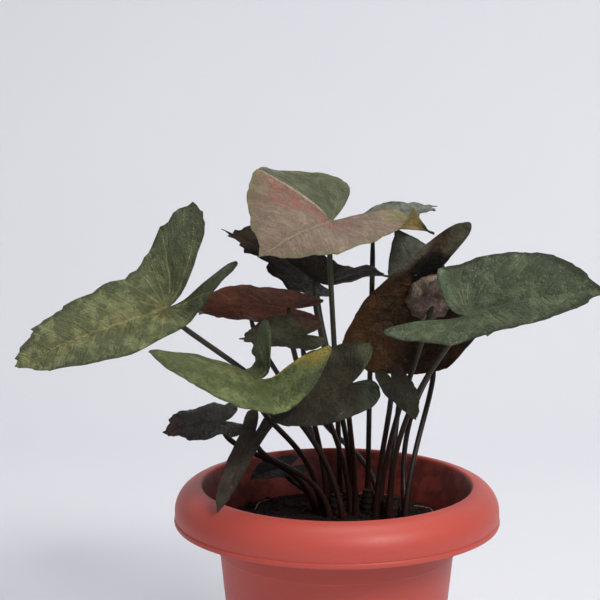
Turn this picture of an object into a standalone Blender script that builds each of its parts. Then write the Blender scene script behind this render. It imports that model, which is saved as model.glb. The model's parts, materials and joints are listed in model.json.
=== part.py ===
"""Arrowhead plant in a round plastic pot with a wide turned-over collar.

The origin is the centre of the pot's base, on the surface that the pot stands on.
+Z is up, -Y is the side that the plant shows best, +X is to the right of it.
Lengths are written in millimetres and turned into metres by MM.
"""

import math
from dataclasses import dataclass

import bmesh
import bpy
from mathutils import Matrix, Vector

MM = 0.001

# Clearance kept between pieces that touch
GAP = 0.3

# Pot
POT_HEIGHT = 158.0
LIP_RADIUS = 85.0
COLLAR_RADIUS = 101.0
COLLAR_DEPTH = 24.0
COLLAR_ROUND = 16.5
BEAD_HEIGHT = 3.5
BEAD_STAND = 0.4
LIP_EASE = 0.9
WALL = 2.3
BODY_RADIUS = 75.5
BAND_BOTTOM = 42.0
BAND_STEP = 1.3
BAND_TAPER = 1.2
BASE_RADIUS = 61.5
FOOT_ROUND = 2.0
POT_SIDES = 56
DRAIN_HOLES = 6
DRAIN_RADIUS = 4.0
DRAIN_CIRCLE = 36.0
SHARP_ANGLE = 35.0

# Soil
SOIL_BELOW_LIP = 24.0
SOIL_MOUND = 3.0
SOIL_LUMP = 0.9
SOIL_SIDES = 40
SOIL_LEVEL = POT_HEIGHT - SOIL_BELOW_LIP
THROAT_DEPTH = SOIL_BELOW_LIP + 3.0

# Short upright stems that the stalks crowd round
CROWN_RADIUS = 5.0
CROWN_HEIGHT = 13.0
CROWN_SIDES = 12
ROOTED_DEPTH = 14.0
HOLE_ABOVE_SOIL = 9.0
HOLE_CLEARANCE = 2 * GAP
CROWNS = {
    "crown_left": (0.0, 14.0),
    "crown_middle": (20.0, 25.0),
    "crown_right": (35.0, 9.0),
}

# Leaf stalks
STALK_FOOT_RADIUS = 2.6
STALK_RADIUS = 1.7
STALK_TOP_RADIUS = 1.0
SHEATH_HEIGHT = 22.0
STALK_LEAN = 0.12
STALK_STEPS = 9
STALK_SIDES_RESOLUTION = 2

# Leaf blades, lengths as fractions of the midrib
BLADE_THICKNESS = 0.8
POINT_LENGTH = 0.12
POINT_POWER = 0.4
FRONT_STEPS = 7
LOBE_STEPS = 4
INNER_STEPS = 3
RINGS = (0.36, 0.7, 1.0)
SINUS = -0.035
LOBE_HINGE = 0.2
RIPPLES = 5.0
CALM_REACH = 0.4


@dataclass(frozen=True)
class Leaf:
    """One arrowhead leaf: where it stands, and how its blade is cut, folded and bent.

    Pairs are (left, right), seen from above with the tip ahead. Widths, lobes and
    spreads are fractions of the length of the midrib. Angles are in degrees.
    """

    name: str
    foot: tuple          # where the stalk leaves the soil, mm (x, y)
    top: tuple           # where the stalk meets the blade, mm
    tip: tuple           # tip of the blade, mm
    roll: float = 0.0    # turn about the midrib, left side up
    fold: tuple = (10.0, 10.0)     # rise of each half from the midrib
    width: tuple = (0.39, 0.39)    # half widths of the front lobe
    lobe: tuple = (0.55, 0.55)     # reach of the back lobes behind the stalk
    spread: tuple = (0.27, 0.27)   # distance of the back lobes' tips from the midrib
    shoulder: tuple = (0.16, 0.16)   # how far ahead of the stalk each half is widest
    hip: tuple = (1.0, 1.0)        # fullness of each half from there to its back lobe
    lift: tuple = (14.0, 14.0)     # angle that the back lobes stand up at
    droop: float = 25.0            # downward bend of the midrib
    curl: tuple = (-25.0, -25.0)   # bend of the edges, down if negative
    blunt: float = 0.3             # fullness of the tip, 0 drawn out to 1 round
    cup: tuple = (0.0, 0.0)        # rise of the back lobes beyond that of their half
    wave: float = 0.015            # height of the waves at the edge
    bow: tuple = (0.0, 0.0)        # sideways bow of the stalk, mm (x, y)
    rise: float = 0.45             # how far up the stalk climbs before it leans
    arrive: tuple = (0.0, 0.0, -1.0)   # where the stalk comes from at its top
    colour: tuple = (0.16, 0.18, 0.08)


LEAVES = (
    Leaf("left_large", (4, 2), (-105, -15, 270), (-189, -60, 242), roll=-44,
         fold=(20, 16), width=(0.30, 0.26), lobe=(0.68, 0.62), spread=(0.22, 0.34),
         shoulder=(0.36, 0.16), hip=(0.45, 1.6), lift=(66, 60), cup=(10, 0), droop=20,
         blunt=0.8, arrive=(0.7, 0.1, -0.7),
         colour=(0.17, 0.19, 0.09)),
    Leaf("top_pink", (2, 24.5), (-4, -8, 323), (-45, -75, 310), roll=-39,
         fold=(14, 8), width=(0.33, 0.64), lobe=(0.8, 0.62), spread=(0.3, 0.25),
         lift=(12, 8), droop=25, blunt=0.5, colour=(0.28, 0.20, 0.15)),
    Leaf("top_grey", (20, 35.5), (22, 49, 312), (66, 85, 321), roll=6,
         width=(0.34, 0.34), lobe=(0.35, 0.35), colour=(0.23, 0.24, 0.21)),
    Leaf("hanging_brown", (27, 17), (60, 24, 285), (1, 12, 229), roll=88,
         fold=(5, 5), width=(0.25, 0.62), lobe=(0.47, 0.3), spread=(0.13, 0.2), shoulder=(0.16, 0.35),
         lift=(4, -60), curl=(-110, -40), blunt=0.6, colour=(0.04, 0.022, 0.012)),
    Leaf("right_large", (33, -1.5), (79, -20, 268), (156, -50, 287), roll=42,
         fold=(15, 15), width=(0.44, 0.30), lobe=(0.30, 0.6), spread=(0.34, 0.24),
         shoulder=(0.16, 0.32),
         lift=(62, 38), droop=25, blunt=0.6, bow=(-8, 0), arrive=(-0.6, 0.1, -0.8),
         colour=(0.09, 0.12, 0.065)),
    Leaf("front_light", (-9, 8.5), (-48, -55, 236), (-108, -80, 256), roll=-14,
         fold=(-20, -8), width=(0.46, 0.26), lobe=(0.7, 0.56), spread=(0.38, 0.24),
         lift=(83, 104), cup=(0, 38), droop=14, blunt=1.0, curl=(10, -25),
         colour=(0.17, 0.19, 0.085)),
    Leaf("red_left", (-6, 24), (-30, 8, 267), (-91, 5, 268), roll=40,
         fold=(0, 0), lobe=(0.34, 0.34), spread=(0.24, 0.24), blunt=0.6,
         colour=(0.09, 0.03, 0.018)),
    Leaf("dark_upper", (11, 31), (-14, 30, 281), (-74, 8, 316), roll=30,
         lobe=(0.6, 0.3), spread=(0.3, 0.27), lift=(42, 30), blunt=0.1,
         colour=(0.021, 0.016, 0.013)),
    Leaf("grey_inner", (9, 20), (-21, -12, 254), (-60, -22, 252), roll=-32,
         lobe=(0.35, 0.35), spread=(0.22, 0.22), colour=(0.1, 0.11, 0.08)),
    Leaf("front_dark", (12, 8), (7, -40, 229), (-39.5, -68, 212), roll=-50,
         fold=(6, 6), width=(0.34, 0.50), lobe=(0.28, 0.45), spread=(0.22, 0.26),
         lift=(65, 30), curl=(-30, -25), blunt=0.6, colour=(0.04, 0.045, 0.024)),
    Leaf("front_small", (24.5, 4), (34, -12, 226), (48, -26, 203), roll=8,
         width=(0.36, 0.42), lobe=(0.3, 0.3), blunt=0.5, colour=(0.06, 0.065, 0.045)),
    Leaf("slate_left", (-13.5, 16), (-70, -14, 200), (-105, -30, 197), roll=-35,
         width=(0.36, 0.36), lobe=(0.35, 0.35), wave=0.05, blunt=0.8,
         colour=(0.023, 0.023, 0.021)),
    Leaf("over_rim", (-4.5, 4), (-50, -32, 196), (-70, -67, 157), roll=0,
         width=(0.15, 0.15), spread=(0.14, 0.14), lobe=(0.3, 0.3), droop=12, blunt=0.4,
         colour=(0.07, 0.057, 0.04)),
    Leaf("inside_pot", (-13, 25), (-33, 20, 162), (-55, 5, 158), roll=-20,
         colour=(0.02, 0.015, 0.012)),
    Leaf("grey_back", (33.5, 20), (56, 52, 262), (36, 48, 313), roll=-80,
         lobe=(0.4, 0.4), colour=(0.1, 0.11, 0.09)),
    Leaf("young_brown", (43, 1), (61, 37, 229), (81, 37, 235), roll=0,
         width=(0.2, 0.2), lobe=(0.2, 0.2), spread=(0.12, 0.12),
         colour=(0.09, 0.05, 0.03)),
    Leaf("back_left", (-3, 33), (-58, 86, 255), (-98, 158, 236), roll=0,
         colour=(0.09, 0.11, 0.06)),
    Leaf("back_right", (44, 14), (86, 90, 240), (106, 158, 222), roll=0,
         bow=(-14, 8), arrive=(-0.7, -0.4, -0.6), colour=(0.09, 0.11, 0.06)),
    Leaf("back_low", (28, 33), (-12, 92, 186), (-18, 152, 167), roll=0,
         lobe=(0.3, 0.3), colour=(0.07, 0.09, 0.05)),
    Leaf("back_high", (10, 41), (-14, 80, 276), (-24, 152, 266), roll=0,
         width=(0.33, 0.33), lobe=(0.4, 0.4), colour=(0.09, 0.11, 0.06)),
)


def clear_scene():
    """Remove the objects that a new file starts with."""
    for thing in list(bpy.data.objects):
        bpy.data.objects.remove(thing, do_unlink=True)


def finish(name, colour, roughness, metallic=0.0):
    """Make a plain material."""
    material = bpy.data.materials.new(name)
    material.use_nodes = True
    shader = material.node_tree.nodes["Principled BSDF"]
    shader.inputs["Base Color"].default_value = (*colour, 1.0)
    shader.inputs["Roughness"].default_value = roughness
    shader.inputs["Metallic"].default_value = metallic
    material.diffuse_color = (*colour, 1.0)
    return material


def add_object(name, data, material, place=(0.0, 0.0, 0.0)):
    """Put mesh or curve data into the scene as one object with its material."""
    thing = bpy.data.objects.new(name, data)
    data.materials.append(material)
    thing.location = [value * MM for value in place]
    bpy.context.scene.collection.objects.link(thing)
    return thing


def mesh_from(shape, name):
    """Turn a bmesh into mesh data and free it."""
    data = bpy.data.meshes.new(name)
    shape.to_mesh(data)
    shape.free()
    return data


def turned(profile, sides, name):
    """Spin a profile of (radius, height) points in mm about the vertical axis."""
    shape = bmesh.new()
    corners = [shape.verts.new((radius * MM, 0.0, height * MM)) for radius, height in profile]
    edges = [shape.edges.new(pair) for pair in zip(corners, corners[1:])]
    bmesh.ops.spin(shape, geom=corners + edges, cent=(0, 0, 0), axis=(0, 0, 1),
                   angle=math.tau, steps=sides, use_merge=True)
    bmesh.ops.remove_doubles(shape, verts=shape.verts, dist=0.01 * MM)
    bmesh.ops.recalc_face_normals(shape, faces=shape.faces)
    data = mesh_from(shape, name)
    data.shade_smooth()
    data.set_sharp_from_angle(angle=math.radians(SHARP_ANGLE))
    return data


def inner_radius(depth):
    """Inner radius of the pot at a depth below its lip, in mm."""
    mouth = LIP_RADIUS - 0.6
    throat = BODY_RADIUS - WALL
    if depth < THROAT_DEPTH:
        return mouth + (throat - mouth) * depth / THROAT_DEPTH
    share = (depth - THROAT_DEPTH) / (POT_HEIGHT - THROAT_DEPTH)
    return throat + (BASE_RADIUS - WALL - throat) * share


def collar_arc(trim, steps=6):
    """Points of the collar's round shoulder from the lip outwards, set in by a trim."""
    points = []
    for step in range(steps + 1):
        turn = math.pi / 2 * step / steps
        radius = LIP_RADIUS + (COLLAR_RADIUS - LIP_RADIUS - trim) * math.sin(turn)
        depth = trim + (COLLAR_ROUND - trim) * (1 - math.cos(turn))
        points.append((radius, POT_HEIGHT - depth))
    return points


def pot_profile():
    """Closed outline of the pot's wall, from the base's centre out, up and back in."""
    skirt_end = POT_HEIGHT - COLLAR_DEPTH
    band_end = POT_HEIGHT - BAND_BOTTOM
    outside = [
        (0.0, 0.0),
        (BASE_RADIUS - FOOT_ROUND, 0.0),
        (BASE_RADIUS - 0.3 * FOOT_ROUND, 0.3 * FOOT_ROUND),
        (BASE_RADIUS, FOOT_ROUND),
        (BODY_RADIUS - BAND_STEP - BAND_TAPER, band_end - 1.0),
        (BODY_RADIUS - BAND_TAPER, band_end),
        (BODY_RADIUS, skirt_end - 2.0),
        (LIP_RADIUS - 0.4, POT_HEIGHT - 2 * WALL),
    ]
    skirt_edge = [
        (COLLAR_RADIUS - WALL, skirt_end),
        (COLLAR_RADIUS - 0.3, skirt_end),
        (COLLAR_RADIUS + BEAD_STAND, skirt_end + 0.35 * BEAD_HEIGHT),
        (COLLAR_RADIUS + BEAD_STAND, skirt_end + 0.7 * BEAD_HEIGHT),
        (COLLAR_RADIUS, skirt_end + BEAD_HEIGHT),
    ]
    inside_depths = (LIP_EASE, 10 * LIP_EASE, THROAT_DEPTH, 90.0, POT_HEIGHT - 3 * WALL)
    inside = [(inner_radius(depth), POT_HEIGHT - depth) for depth in inside_depths]
    floor = [(BASE_RADIUS - 3 * WALL, WALL), (0.0, WALL)]
    return outside + collar_arc(WALL)[1:] + skirt_edge + collar_arc(0.0)[::-1] + inside + floor


def cylinder_cutter(name, radius, low, high, sides):
    """Make a straight cutter between two points in mm, left out of the build."""
    axis = Vector(high) - Vector(low)
    shape = bmesh.new()
    bmesh.ops.create_cone(shape, cap_ends=True, segments=sides, radius1=radius * MM,
                          radius2=radius * MM, depth=axis.length * MM)
    turn = axis.to_track_quat("Z", "Y").to_matrix().to_4x4()
    middle = (Vector(low) + Vector(high)) / 2 * MM
    bmesh.ops.transform(shape, matrix=Matrix.Translation(middle) @ turn, verts=shape.verts)
    cutter = bpy.data.objects.new(name, mesh_from(shape, name))
    cutter.hide_render = True
    cutter.display_type = "WIRE"
    return cutter


def cut_with(target, cutters, name):
    """Cut a group of cutters out of an object."""
    group = bpy.data.collections.new(name)
    bpy.context.scene.collection.children.link(group)
    for cutter in cutters:
        group.objects.link(cutter)
    cut = target.modifiers.new(name, "BOOLEAN")
    cut.operation = "DIFFERENCE"
    cut.operand_type = "COLLECTION"
    cut.collection = group


def build_pot():
    """Turn the pot and bore its drain holes."""
    material = finish("pot_plastic", (0.54, 0.13, 0.11), 0.42)
    pot = add_object("pot", turned(pot_profile(), POT_SIDES, "pot"), material)
    holes = []
    for index in range(DRAIN_HOLES):
        turn = math.tau * index / DRAIN_HOLES
        x = DRAIN_CIRCLE * math.cos(turn)
        y = DRAIN_CIRCLE * math.sin(turn)
        low = (x, y, -WALL)
        high = (x, y, 2 * WALL)
        holes.append(cylinder_cutter(f"drain_{index}", DRAIN_RADIUS, low, high, 12))
    cut_with(pot, holes, "drain_holes")


def soil_height(radius, turn):
    """Height of the uneven soil in mm at a radius and a turn about the axis."""
    share = radius / inner_radius(SOIL_BELOW_LIP)
    lumps = SOIL_LUMP * (math.sin(3 * turn + 7 * share) + 0.7 * math.sin(5 * turn - 4 * share))
    return SOIL_LEVEL - SOIL_MOUND * share * share + 3 * lumps * share * (1 - share)


def build_soil(cutters):
    """Fill the pot with soil that has plain holes for the stems and stalks."""
    edge_radius = inner_radius(SOIL_BELOW_LIP + SOIL_MOUND) - GAP
    profile = [(edge_radius * share, SOIL_LEVEL) for share in (0.0, 0.25, 0.5, 0.75)]
    profile += [
        (edge_radius, SOIL_LEVEL - SOIL_MOUND),
        (inner_radius(POT_HEIGHT - 3 * WALL) - 2 * GAP, 3 * WALL),
        (BASE_RADIUS - 3.4 * WALL, WALL + GAP),
        (0.0, WALL + GAP),
    ]
    data = turned(profile, SOIL_SIDES, "soil")
    for corner in data.vertices:
        if corner.co.z > (SOIL_LEVEL - 0.5) * MM:
            radius = math.hypot(corner.co.x, corner.co.y) / MM
            corner.co.z = soil_height(radius, math.atan2(corner.co.y, corner.co.x)) * MM
    soil = add_object("soil", data, finish("soil_dark", (0.012, 0.008, 0.006), 0.95))
    cut_with(soil, cutters, "stem_holes")


def build_crowns():
    """Stand the short stems in the soil and return the cutters for their holes."""
    material = finish("crown_bark", (0.03, 0.018, 0.012), 0.7)
    profile = [
        (0.0, -ROOTED_DEPTH),
        (CROWN_RADIUS, -ROOTED_DEPTH),
        (CROWN_RADIUS, CROWN_HEIGHT * 0.5),
        (CROWN_RADIUS * 0.8, CROWN_HEIGHT * 0.85),
        (0.0, CROWN_HEIGHT),
    ]
    cutters = []
    for name, (x, y) in CROWNS.items():
        add_object(name, turned(profile, CROWN_SIDES, name), material, (x, y, SOIL_LEVEL))
        low = (x, y, SOIL_LEVEL - ROOTED_DEPTH - GAP)
        high = (x, y, SOIL_LEVEL + HOLE_ABOVE_SOIL)
        radius = CROWN_RADIUS + HOLE_CLEARANCE
        cutters.append(cylinder_cutter(name + "_hole", radius, low, high, 16))
    return cutters


def bezier(start, first, second, end, share):
    """Point on a cubic curve, for tuples of any size."""
    rest = 1.0 - share
    weights = (rest ** 3, 3 * rest * rest * share, 3 * rest * share * share, share ** 3)
    corners = (start, first, second, end)
    return tuple(
        sum(weight * corner[axis] for weight, corner in zip(weights, corners))
        for axis in range(len(start))
    )


def half_outline(leaf, side):
    """Flat edge of one half, from beside the tip to beside the sinus, midrib length 1."""
    width, lobe, spread, hip = leaf.width[side], leaf.lobe[side], leaf.spread[side], leaf.hip[side]
    drawn = (0.86 + 0.08 * leaf.blunt, 0.01 + 0.2 * leaf.blunt)
    shoulder = (leaf.shoulder[side], width)
    corner = (-lobe, spread)
    front = ((1.0, 0.0), drawn, (0.60, width), shoulder)
    outer = (shoulder, (-0.14, width * hip), (0.10 - lobe, spread + 0.12 * hip), corner)
    inner = (corner, (-lobe - 0.02, spread - 0.10), (-0.20, 0.03), (SINUS, 0.0))
    points = []
    for step in range(1, FRONT_STEPS + 1):
        along, across = bezier(*front, step / FRONT_STEPS)
        pointed = min((1.0 - along) / POINT_LENGTH, 1.0) ** POINT_POWER
        points.append((along, across * pointed))
    points += [bezier(*outer, step / LOBE_STEPS) for step in range(1, LOBE_STEPS + 1)]
    points += [bezier(*inner, step / (INNER_STEPS + 1)) for step in range(1, INNER_STEPS + 1)]
    return points


def outline(leaf):
    """Flat edge of the whole blade, once round from the tip over the left half."""
    left = half_outline(leaf, 0)
    right = half_outline(leaf, 1)
    mirrored = [(along, -across) for along, across in reversed(right)]
    return [(1.0, 0.0)] + left + [(SINUS, 0.0)] + mirrored


def arc(length, start, bend):
    """End of an arc that leaves at an angle to the flat and turns by bend over length 1."""
    if abs(bend) < 1e-4:
        return length * math.cos(start), length * math.sin(start)
    end = start + bend * length
    return (math.sin(end) - math.sin(start)) / bend, (math.cos(start) - math.cos(end)) / bend


def bent(leaf, along, across, reach):
    """Bend a flat point of the blade into its shape, midrib length 1."""
    side = 0 if across >= 0.0 else 1
    if along >= 0.0:
        forward, height = arc(along, 0.0, -math.radians(leaf.droop))
        slope = -math.radians(leaf.droop) * along
    else:
        lift = math.radians(leaf.lift[side])
        hinged = min(-along, LOBE_HINGE)
        back, height = arc(hinged, 0.0, lift / LOBE_HINGE)
        slope = -lift * hinged / LOBE_HINGE
        forward = -back - (-along - hinged) * math.cos(slope)
        height -= (-along - hinged) * math.sin(slope)
    standing = min(max(-along, 0.0) / LOBE_HINGE, 1.0)
    fold = math.radians(leaf.fold[side] + leaf.cup[side] * standing)
    sideways, raised = arc(abs(across), fold, math.radians(leaf.curl[side]))
    bearing = math.atan2(across, along)
    swell = min(math.hypot(along, across) / CALM_REACH, 1.0) * reach
    raised += leaf.wave * swell * swell * math.sin(RIPPLES * bearing + leaf.foot[0] + leaf.foot[1])
    sideways = sideways if side == 0 else -sideways
    return Vector((
        forward - raised * math.sin(slope),
        sideways,
        height + raised * math.cos(slope),
    ))


def placement(leaf):
    """Matrix from the blade's own shape to its place, in mm."""
    tip = bent(leaf, 1.0, 0.0, 1.0)
    chord = Vector(leaf.tip) - Vector(leaf.top)
    ahead = chord.normalized()
    left = Vector((0, 0, 1)).cross(ahead).normalized()
    above = ahead.cross(left)
    facing = Matrix((ahead, left, above)).transposed().to_4x4()
    roll = Matrix.Rotation(math.radians(leaf.roll), 4, "X")
    level = Matrix.Rotation(math.atan2(tip.z, tip.x), 4, "Y")
    size = Matrix.Scale(chord.length / tip.length, 4)
    return Matrix.Translation(Vector(leaf.top)) @ facing @ roll @ level @ size


def build_blade(leaf):
    """Make one blade as rings of points round the stalk's top, with its thickness below."""
    shape = bmesh.new()
    place = Matrix.Scale(MM, 4) @ placement(leaf)
    middle = shape.verts.new(place @ bent(leaf, 0.0, 0.0, 0.0))
    edge = outline(leaf)
    rings = []
    for reach in RINGS:
        ring = [bent(leaf, along * reach, across * reach, reach) for along, across in edge]
        rings.append([shape.verts.new(place @ point) for point in ring])
    for index in range(len(edge)):
        after = (index + 1) % len(edge)
        shape.faces.new((middle, rings[0][index], rings[0][after]))
        for inner, outer in zip(rings, rings[1:]):
            shape.faces.new((inner[index], outer[index], outer[after]))
            shape.faces.new((inner[index], outer[after], inner[after]))
    shape.normal_update()
    name = "leaf_" + leaf.name
    data = mesh_from(shape, name)
    data.shade_smooth()
    blade = add_object(name, data, finish("green_" + leaf.name, leaf.colour, 0.5))
    thickness = blade.modifiers.new("thickness", "SOLIDIFY")
    thickness.thickness = BLADE_THICKNESS * MM


def steepest_dip(leaf, place, face_up):
    """Steepest fall of the blade's inner ring below the plane across the stalk's top."""
    reach = RINGS[0]
    dips = [0.0]
    for along, across in outline(leaf):
        ray = place @ bent(leaf, along * reach, across * reach, reach) - Vector(leaf.top)
        dips.append(-ray.dot(face_up) / ray.length)
    return max(dips)


def stalk_route(leaf):
    """Points of the stalk in mm from the soil to just under the blade, and its first lean."""
    place = placement(leaf)
    face_up = (place.to_3x3() @ Vector((0, 0, 1))).normalized()
    arrive = Vector(leaf.arrive).normalized()
    if arrive.dot(face_up) > -0.2:
        arrive = (arrive - face_up * 0.8).normalized()
    tilt = math.sqrt(max(0.0, 1.0 - arrive.dot(face_up) ** 2))
    dip = steepest_dip(leaf, place, face_up)
    below = GAP + BLADE_THICKNESS + STALK_TOP_RADIUS * (tilt + 2 * dip)
    top = Vector(leaf.top) - face_up * below
    foot = Vector((*leaf.foot, SOIL_LEVEL))
    span = (top - foot).length
    lean = Vector((
        (top.x - foot.x) * STALK_LEAN + leaf.bow[0],
        (top.y - foot.y) * STALK_LEAN + leaf.bow[1],
        span * leaf.rise,
    ))
    curve = (foot, foot + lean, top + arrive * span * 0.25, top)
    points = [foot - lean.normalized() * ROOTED_DEPTH]
    for step in range(STALK_STEPS + 1):
        points.append(Vector(bezier(*curve, step / STALK_STEPS)))
    return points, lean.normalized()


def stalk_radius(height):
    """Radius of a stalk in mm at a height above the soil, thicker where its base clasps."""
    share = min(max(height / SHEATH_HEIGHT, 0.0), 1.0)
    return STALK_FOOT_RADIUS + (STALK_RADIUS - STALK_FOOT_RADIUS) * share


def build_stalk(leaf):
    """Make the stalk of one leaf and return the cutter for its hole in the soil."""
    points, lean = stalk_route(leaf)
    name = "stalk_" + leaf.name
    data = bpy.data.curves.new(name, "CURVE")
    data.dimensions = "3D"
    data.bevel_depth = MM
    data.bevel_resolution = STALK_SIDES_RESOLUTION
    data.use_fill_caps = True
    spline = data.splines.new("POLY")
    spline.points.add(len(points) - 1)
    for point, place in zip(spline.points, points):
        point.co = (*(place * MM), 1.0)
        point.radius = stalk_radius(place.z - SOIL_LEVEL)
    spline.points[-1].radius = STALK_TOP_RADIUS
    add_object(name, data, finish("brown_" + leaf.name, (0.02, 0.012, 0.008), 0.5))
    foot = Vector((*leaf.foot, SOIL_LEVEL))
    low = foot - lean * (ROOTED_DEPTH + GAP)
    high = foot + lean * HOLE_ABOVE_SOIL
    return cylinder_cutter(name + "_hole", STALK_FOOT_RADIUS + HOLE_CLEARANCE, low, high, 10)


def build_plant():
    """Build everything from the soil up."""
    cutters = build_crowns()
    for leaf in LEAVES:
        build_blade(leaf)
        cutters.append(build_stalk(leaf))
    build_soil(cutters)


clear_scene()
build_pot()
build_plant()
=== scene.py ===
"""Looks of a potted arrowhead vine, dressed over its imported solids.

The frame is the solids' own: the origin is the centre of the pot's base, +Z is up and
-Y is the side that the plant shows best. Lengths are in millimetres unless said
otherwise, and MM turns them into metres where a mesh is made.
"""

import json
import logging
import math
import random
from dataclasses import dataclass, field
from enum import Enum
from typing import Callable, Optional, Sequence

import bmesh
import bpy
from mathutils import Matrix, Vector, noise

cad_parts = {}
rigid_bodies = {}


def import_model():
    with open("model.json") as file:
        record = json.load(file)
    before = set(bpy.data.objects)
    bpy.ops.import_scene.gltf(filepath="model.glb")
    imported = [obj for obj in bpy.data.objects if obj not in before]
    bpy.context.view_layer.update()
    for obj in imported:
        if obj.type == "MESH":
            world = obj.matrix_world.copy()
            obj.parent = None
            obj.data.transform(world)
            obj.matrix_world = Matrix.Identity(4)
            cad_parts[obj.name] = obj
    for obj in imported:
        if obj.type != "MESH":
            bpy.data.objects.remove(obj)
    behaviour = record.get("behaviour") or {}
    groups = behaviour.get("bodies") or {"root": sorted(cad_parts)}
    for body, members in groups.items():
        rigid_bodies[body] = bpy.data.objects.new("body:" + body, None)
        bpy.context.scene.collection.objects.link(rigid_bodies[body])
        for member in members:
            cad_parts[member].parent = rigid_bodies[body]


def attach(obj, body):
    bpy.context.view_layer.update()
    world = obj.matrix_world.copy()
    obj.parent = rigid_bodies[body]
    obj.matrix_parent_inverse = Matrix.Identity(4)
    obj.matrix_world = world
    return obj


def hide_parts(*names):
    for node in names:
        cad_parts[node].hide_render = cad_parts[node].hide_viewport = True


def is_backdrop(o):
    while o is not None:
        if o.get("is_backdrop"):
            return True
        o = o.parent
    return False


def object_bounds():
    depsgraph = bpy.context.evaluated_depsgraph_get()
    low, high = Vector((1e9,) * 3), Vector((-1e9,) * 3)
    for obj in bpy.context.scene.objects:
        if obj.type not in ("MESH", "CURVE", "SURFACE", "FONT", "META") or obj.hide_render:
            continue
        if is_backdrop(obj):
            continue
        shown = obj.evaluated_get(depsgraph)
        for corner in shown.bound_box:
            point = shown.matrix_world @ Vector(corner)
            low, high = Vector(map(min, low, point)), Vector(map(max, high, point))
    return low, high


LOG = logging.getLogger("arrowhead_plant")

MM = 0.001
BODY = "root"

Colour = tuple[float, float, float]
Place = tuple[float, float, float]
Point = tuple[float, float]
Pair = tuple[float, float]
Route = list[tuple[Vector, float]]
Spot = tuple[Vector, Point, Point]
Shape = bmesh.types.BMesh
Mesh = bpy.types.Mesh
Piece = bpy.types.Object
Material = bpy.types.Material


# Small sums that several pieces use


def bezier(corners: Sequence[Sequence[float]], share: float) -> tuple[float, ...]:
    """Find a point on a cubic curve.

    Args:
        corners: The curve's four control points, of any size.
        share: How far along the curve the point lies, from 0 to 1.

    Returns:
        The point, of the same size as the corners.
    """
    rest = 1.0 - share
    weights = (rest ** 3, 3 * rest * rest * share, 3 * rest * share * share, share ** 3)
    return tuple(
        sum(weight * corner[axis] for weight, corner in zip(weights, corners))
        for axis in range(len(corners[0]))
    )


def arc(length: float, start: float, bend: float) -> Pair:
    """Find the end of an arc that leaves the flat at an angle and keeps turning.

    Args:
        length: Length of the arc.
        start: Angle that it leaves at, in radians.
        bend: Turn over a length of 1, in radians.

    Returns:
        How far along and how high the arc ends.
    """
    if abs(bend) < 1e-4:
        return length * math.cos(start), length * math.sin(start)
    end = start + bend * length
    return (math.sin(end) - math.sin(start)) / bend, (math.cos(start) - math.cos(end)) / bend


def smooth(value: float, low: float, high: float) -> float:
    """Ease a value from 0 at low to 1 at high."""
    share = min(max((value - low) / (high - low), 0.0), 1.0)
    return share * share * (3 - 2 * share)


def swell(x: float, y: float, seed: float) -> float:
    """Read smooth noise between -1 and 1 at a flat point, with a seed."""
    return noise.noise(Vector((x, y, seed)))


def scaled(colour: Colour, factor: float) -> Colour:
    """Brighten or darken a colour, up to full white."""
    return tuple(min(value * factor, 1.0) for value in colour)


def blend(first: Colour, second: Colour, share: float) -> Colour:
    """Mix two plain colours, with a share of the first."""
    return tuple(one * share + other * (1.0 - share) for one, other in zip(first, second))


# Making and placing meshes


def mesh_from(shape: Shape, name: str, sharp_angle: float = 180.0) -> Mesh:
    """Turn a bmesh into smooth-shaded mesh data and free it.

    Args:
        shape: The bmesh.
        name: Name of the mesh data.
        sharp_angle: Edges that turn by more than this many degrees stay sharp.

    Returns:
        The mesh data.
    """
    data = bpy.data.meshes.new(name)
    shape.to_mesh(data)
    shape.free()
    data.shade_smooth()
    if sharp_angle < 180.0:
        data.set_sharp_from_angle(angle=math.radians(sharp_angle))
    return data


def loose(data: bpy.types.ID, name: str) -> Piece:
    """Put data into the scene as an object.

    Args:
        data: Mesh, curve, light or camera data.
        name: Name of the object.

    Returns:
        The object.
    """
    thing = bpy.data.objects.new(name, data)
    bpy.context.scene.collection.objects.link(thing)
    return thing


def baked(thing: Piece) -> Mesh:
    """Apply an object's modifiers or bevel and take the object away.

    Args:
        thing: A mesh or curve object whose transform is plain.

    Returns:
        The mesh that it evaluates to.
    """
    bpy.context.view_layer.update()
    graph = bpy.context.evaluated_depsgraph_get()
    data = bpy.data.meshes.new_from_object(thing.evaluated_get(graph))
    bpy.data.objects.remove(thing, do_unlink=True)
    return data


def spun(profile: Sequence[Point], steps: int) -> Shape:
    """Spin a profile about the vertical axis.

    Args:
        profile: Points of radius and height.
        steps: Number of steps in the full turn.

    Returns:
        The closed shape, with its faces outwards.
    """
    shape = bmesh.new()
    corners = [shape.verts.new((radius * MM, 0.0, height * MM)) for radius, height in profile]
    edges = [shape.edges.new(pair) for pair in zip(corners, corners[1:])]
    bmesh.ops.spin(shape, geom=corners + edges, cent=(0, 0, 0), axis=(0, 0, 1),
                   angle=math.tau, steps=steps, use_merge=True)
    bmesh.ops.remove_doubles(shape, verts=shape.verts, dist=0.01 * MM)
    bmesh.ops.recalc_face_normals(shape, faces=shape.faces)
    return shape


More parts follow.
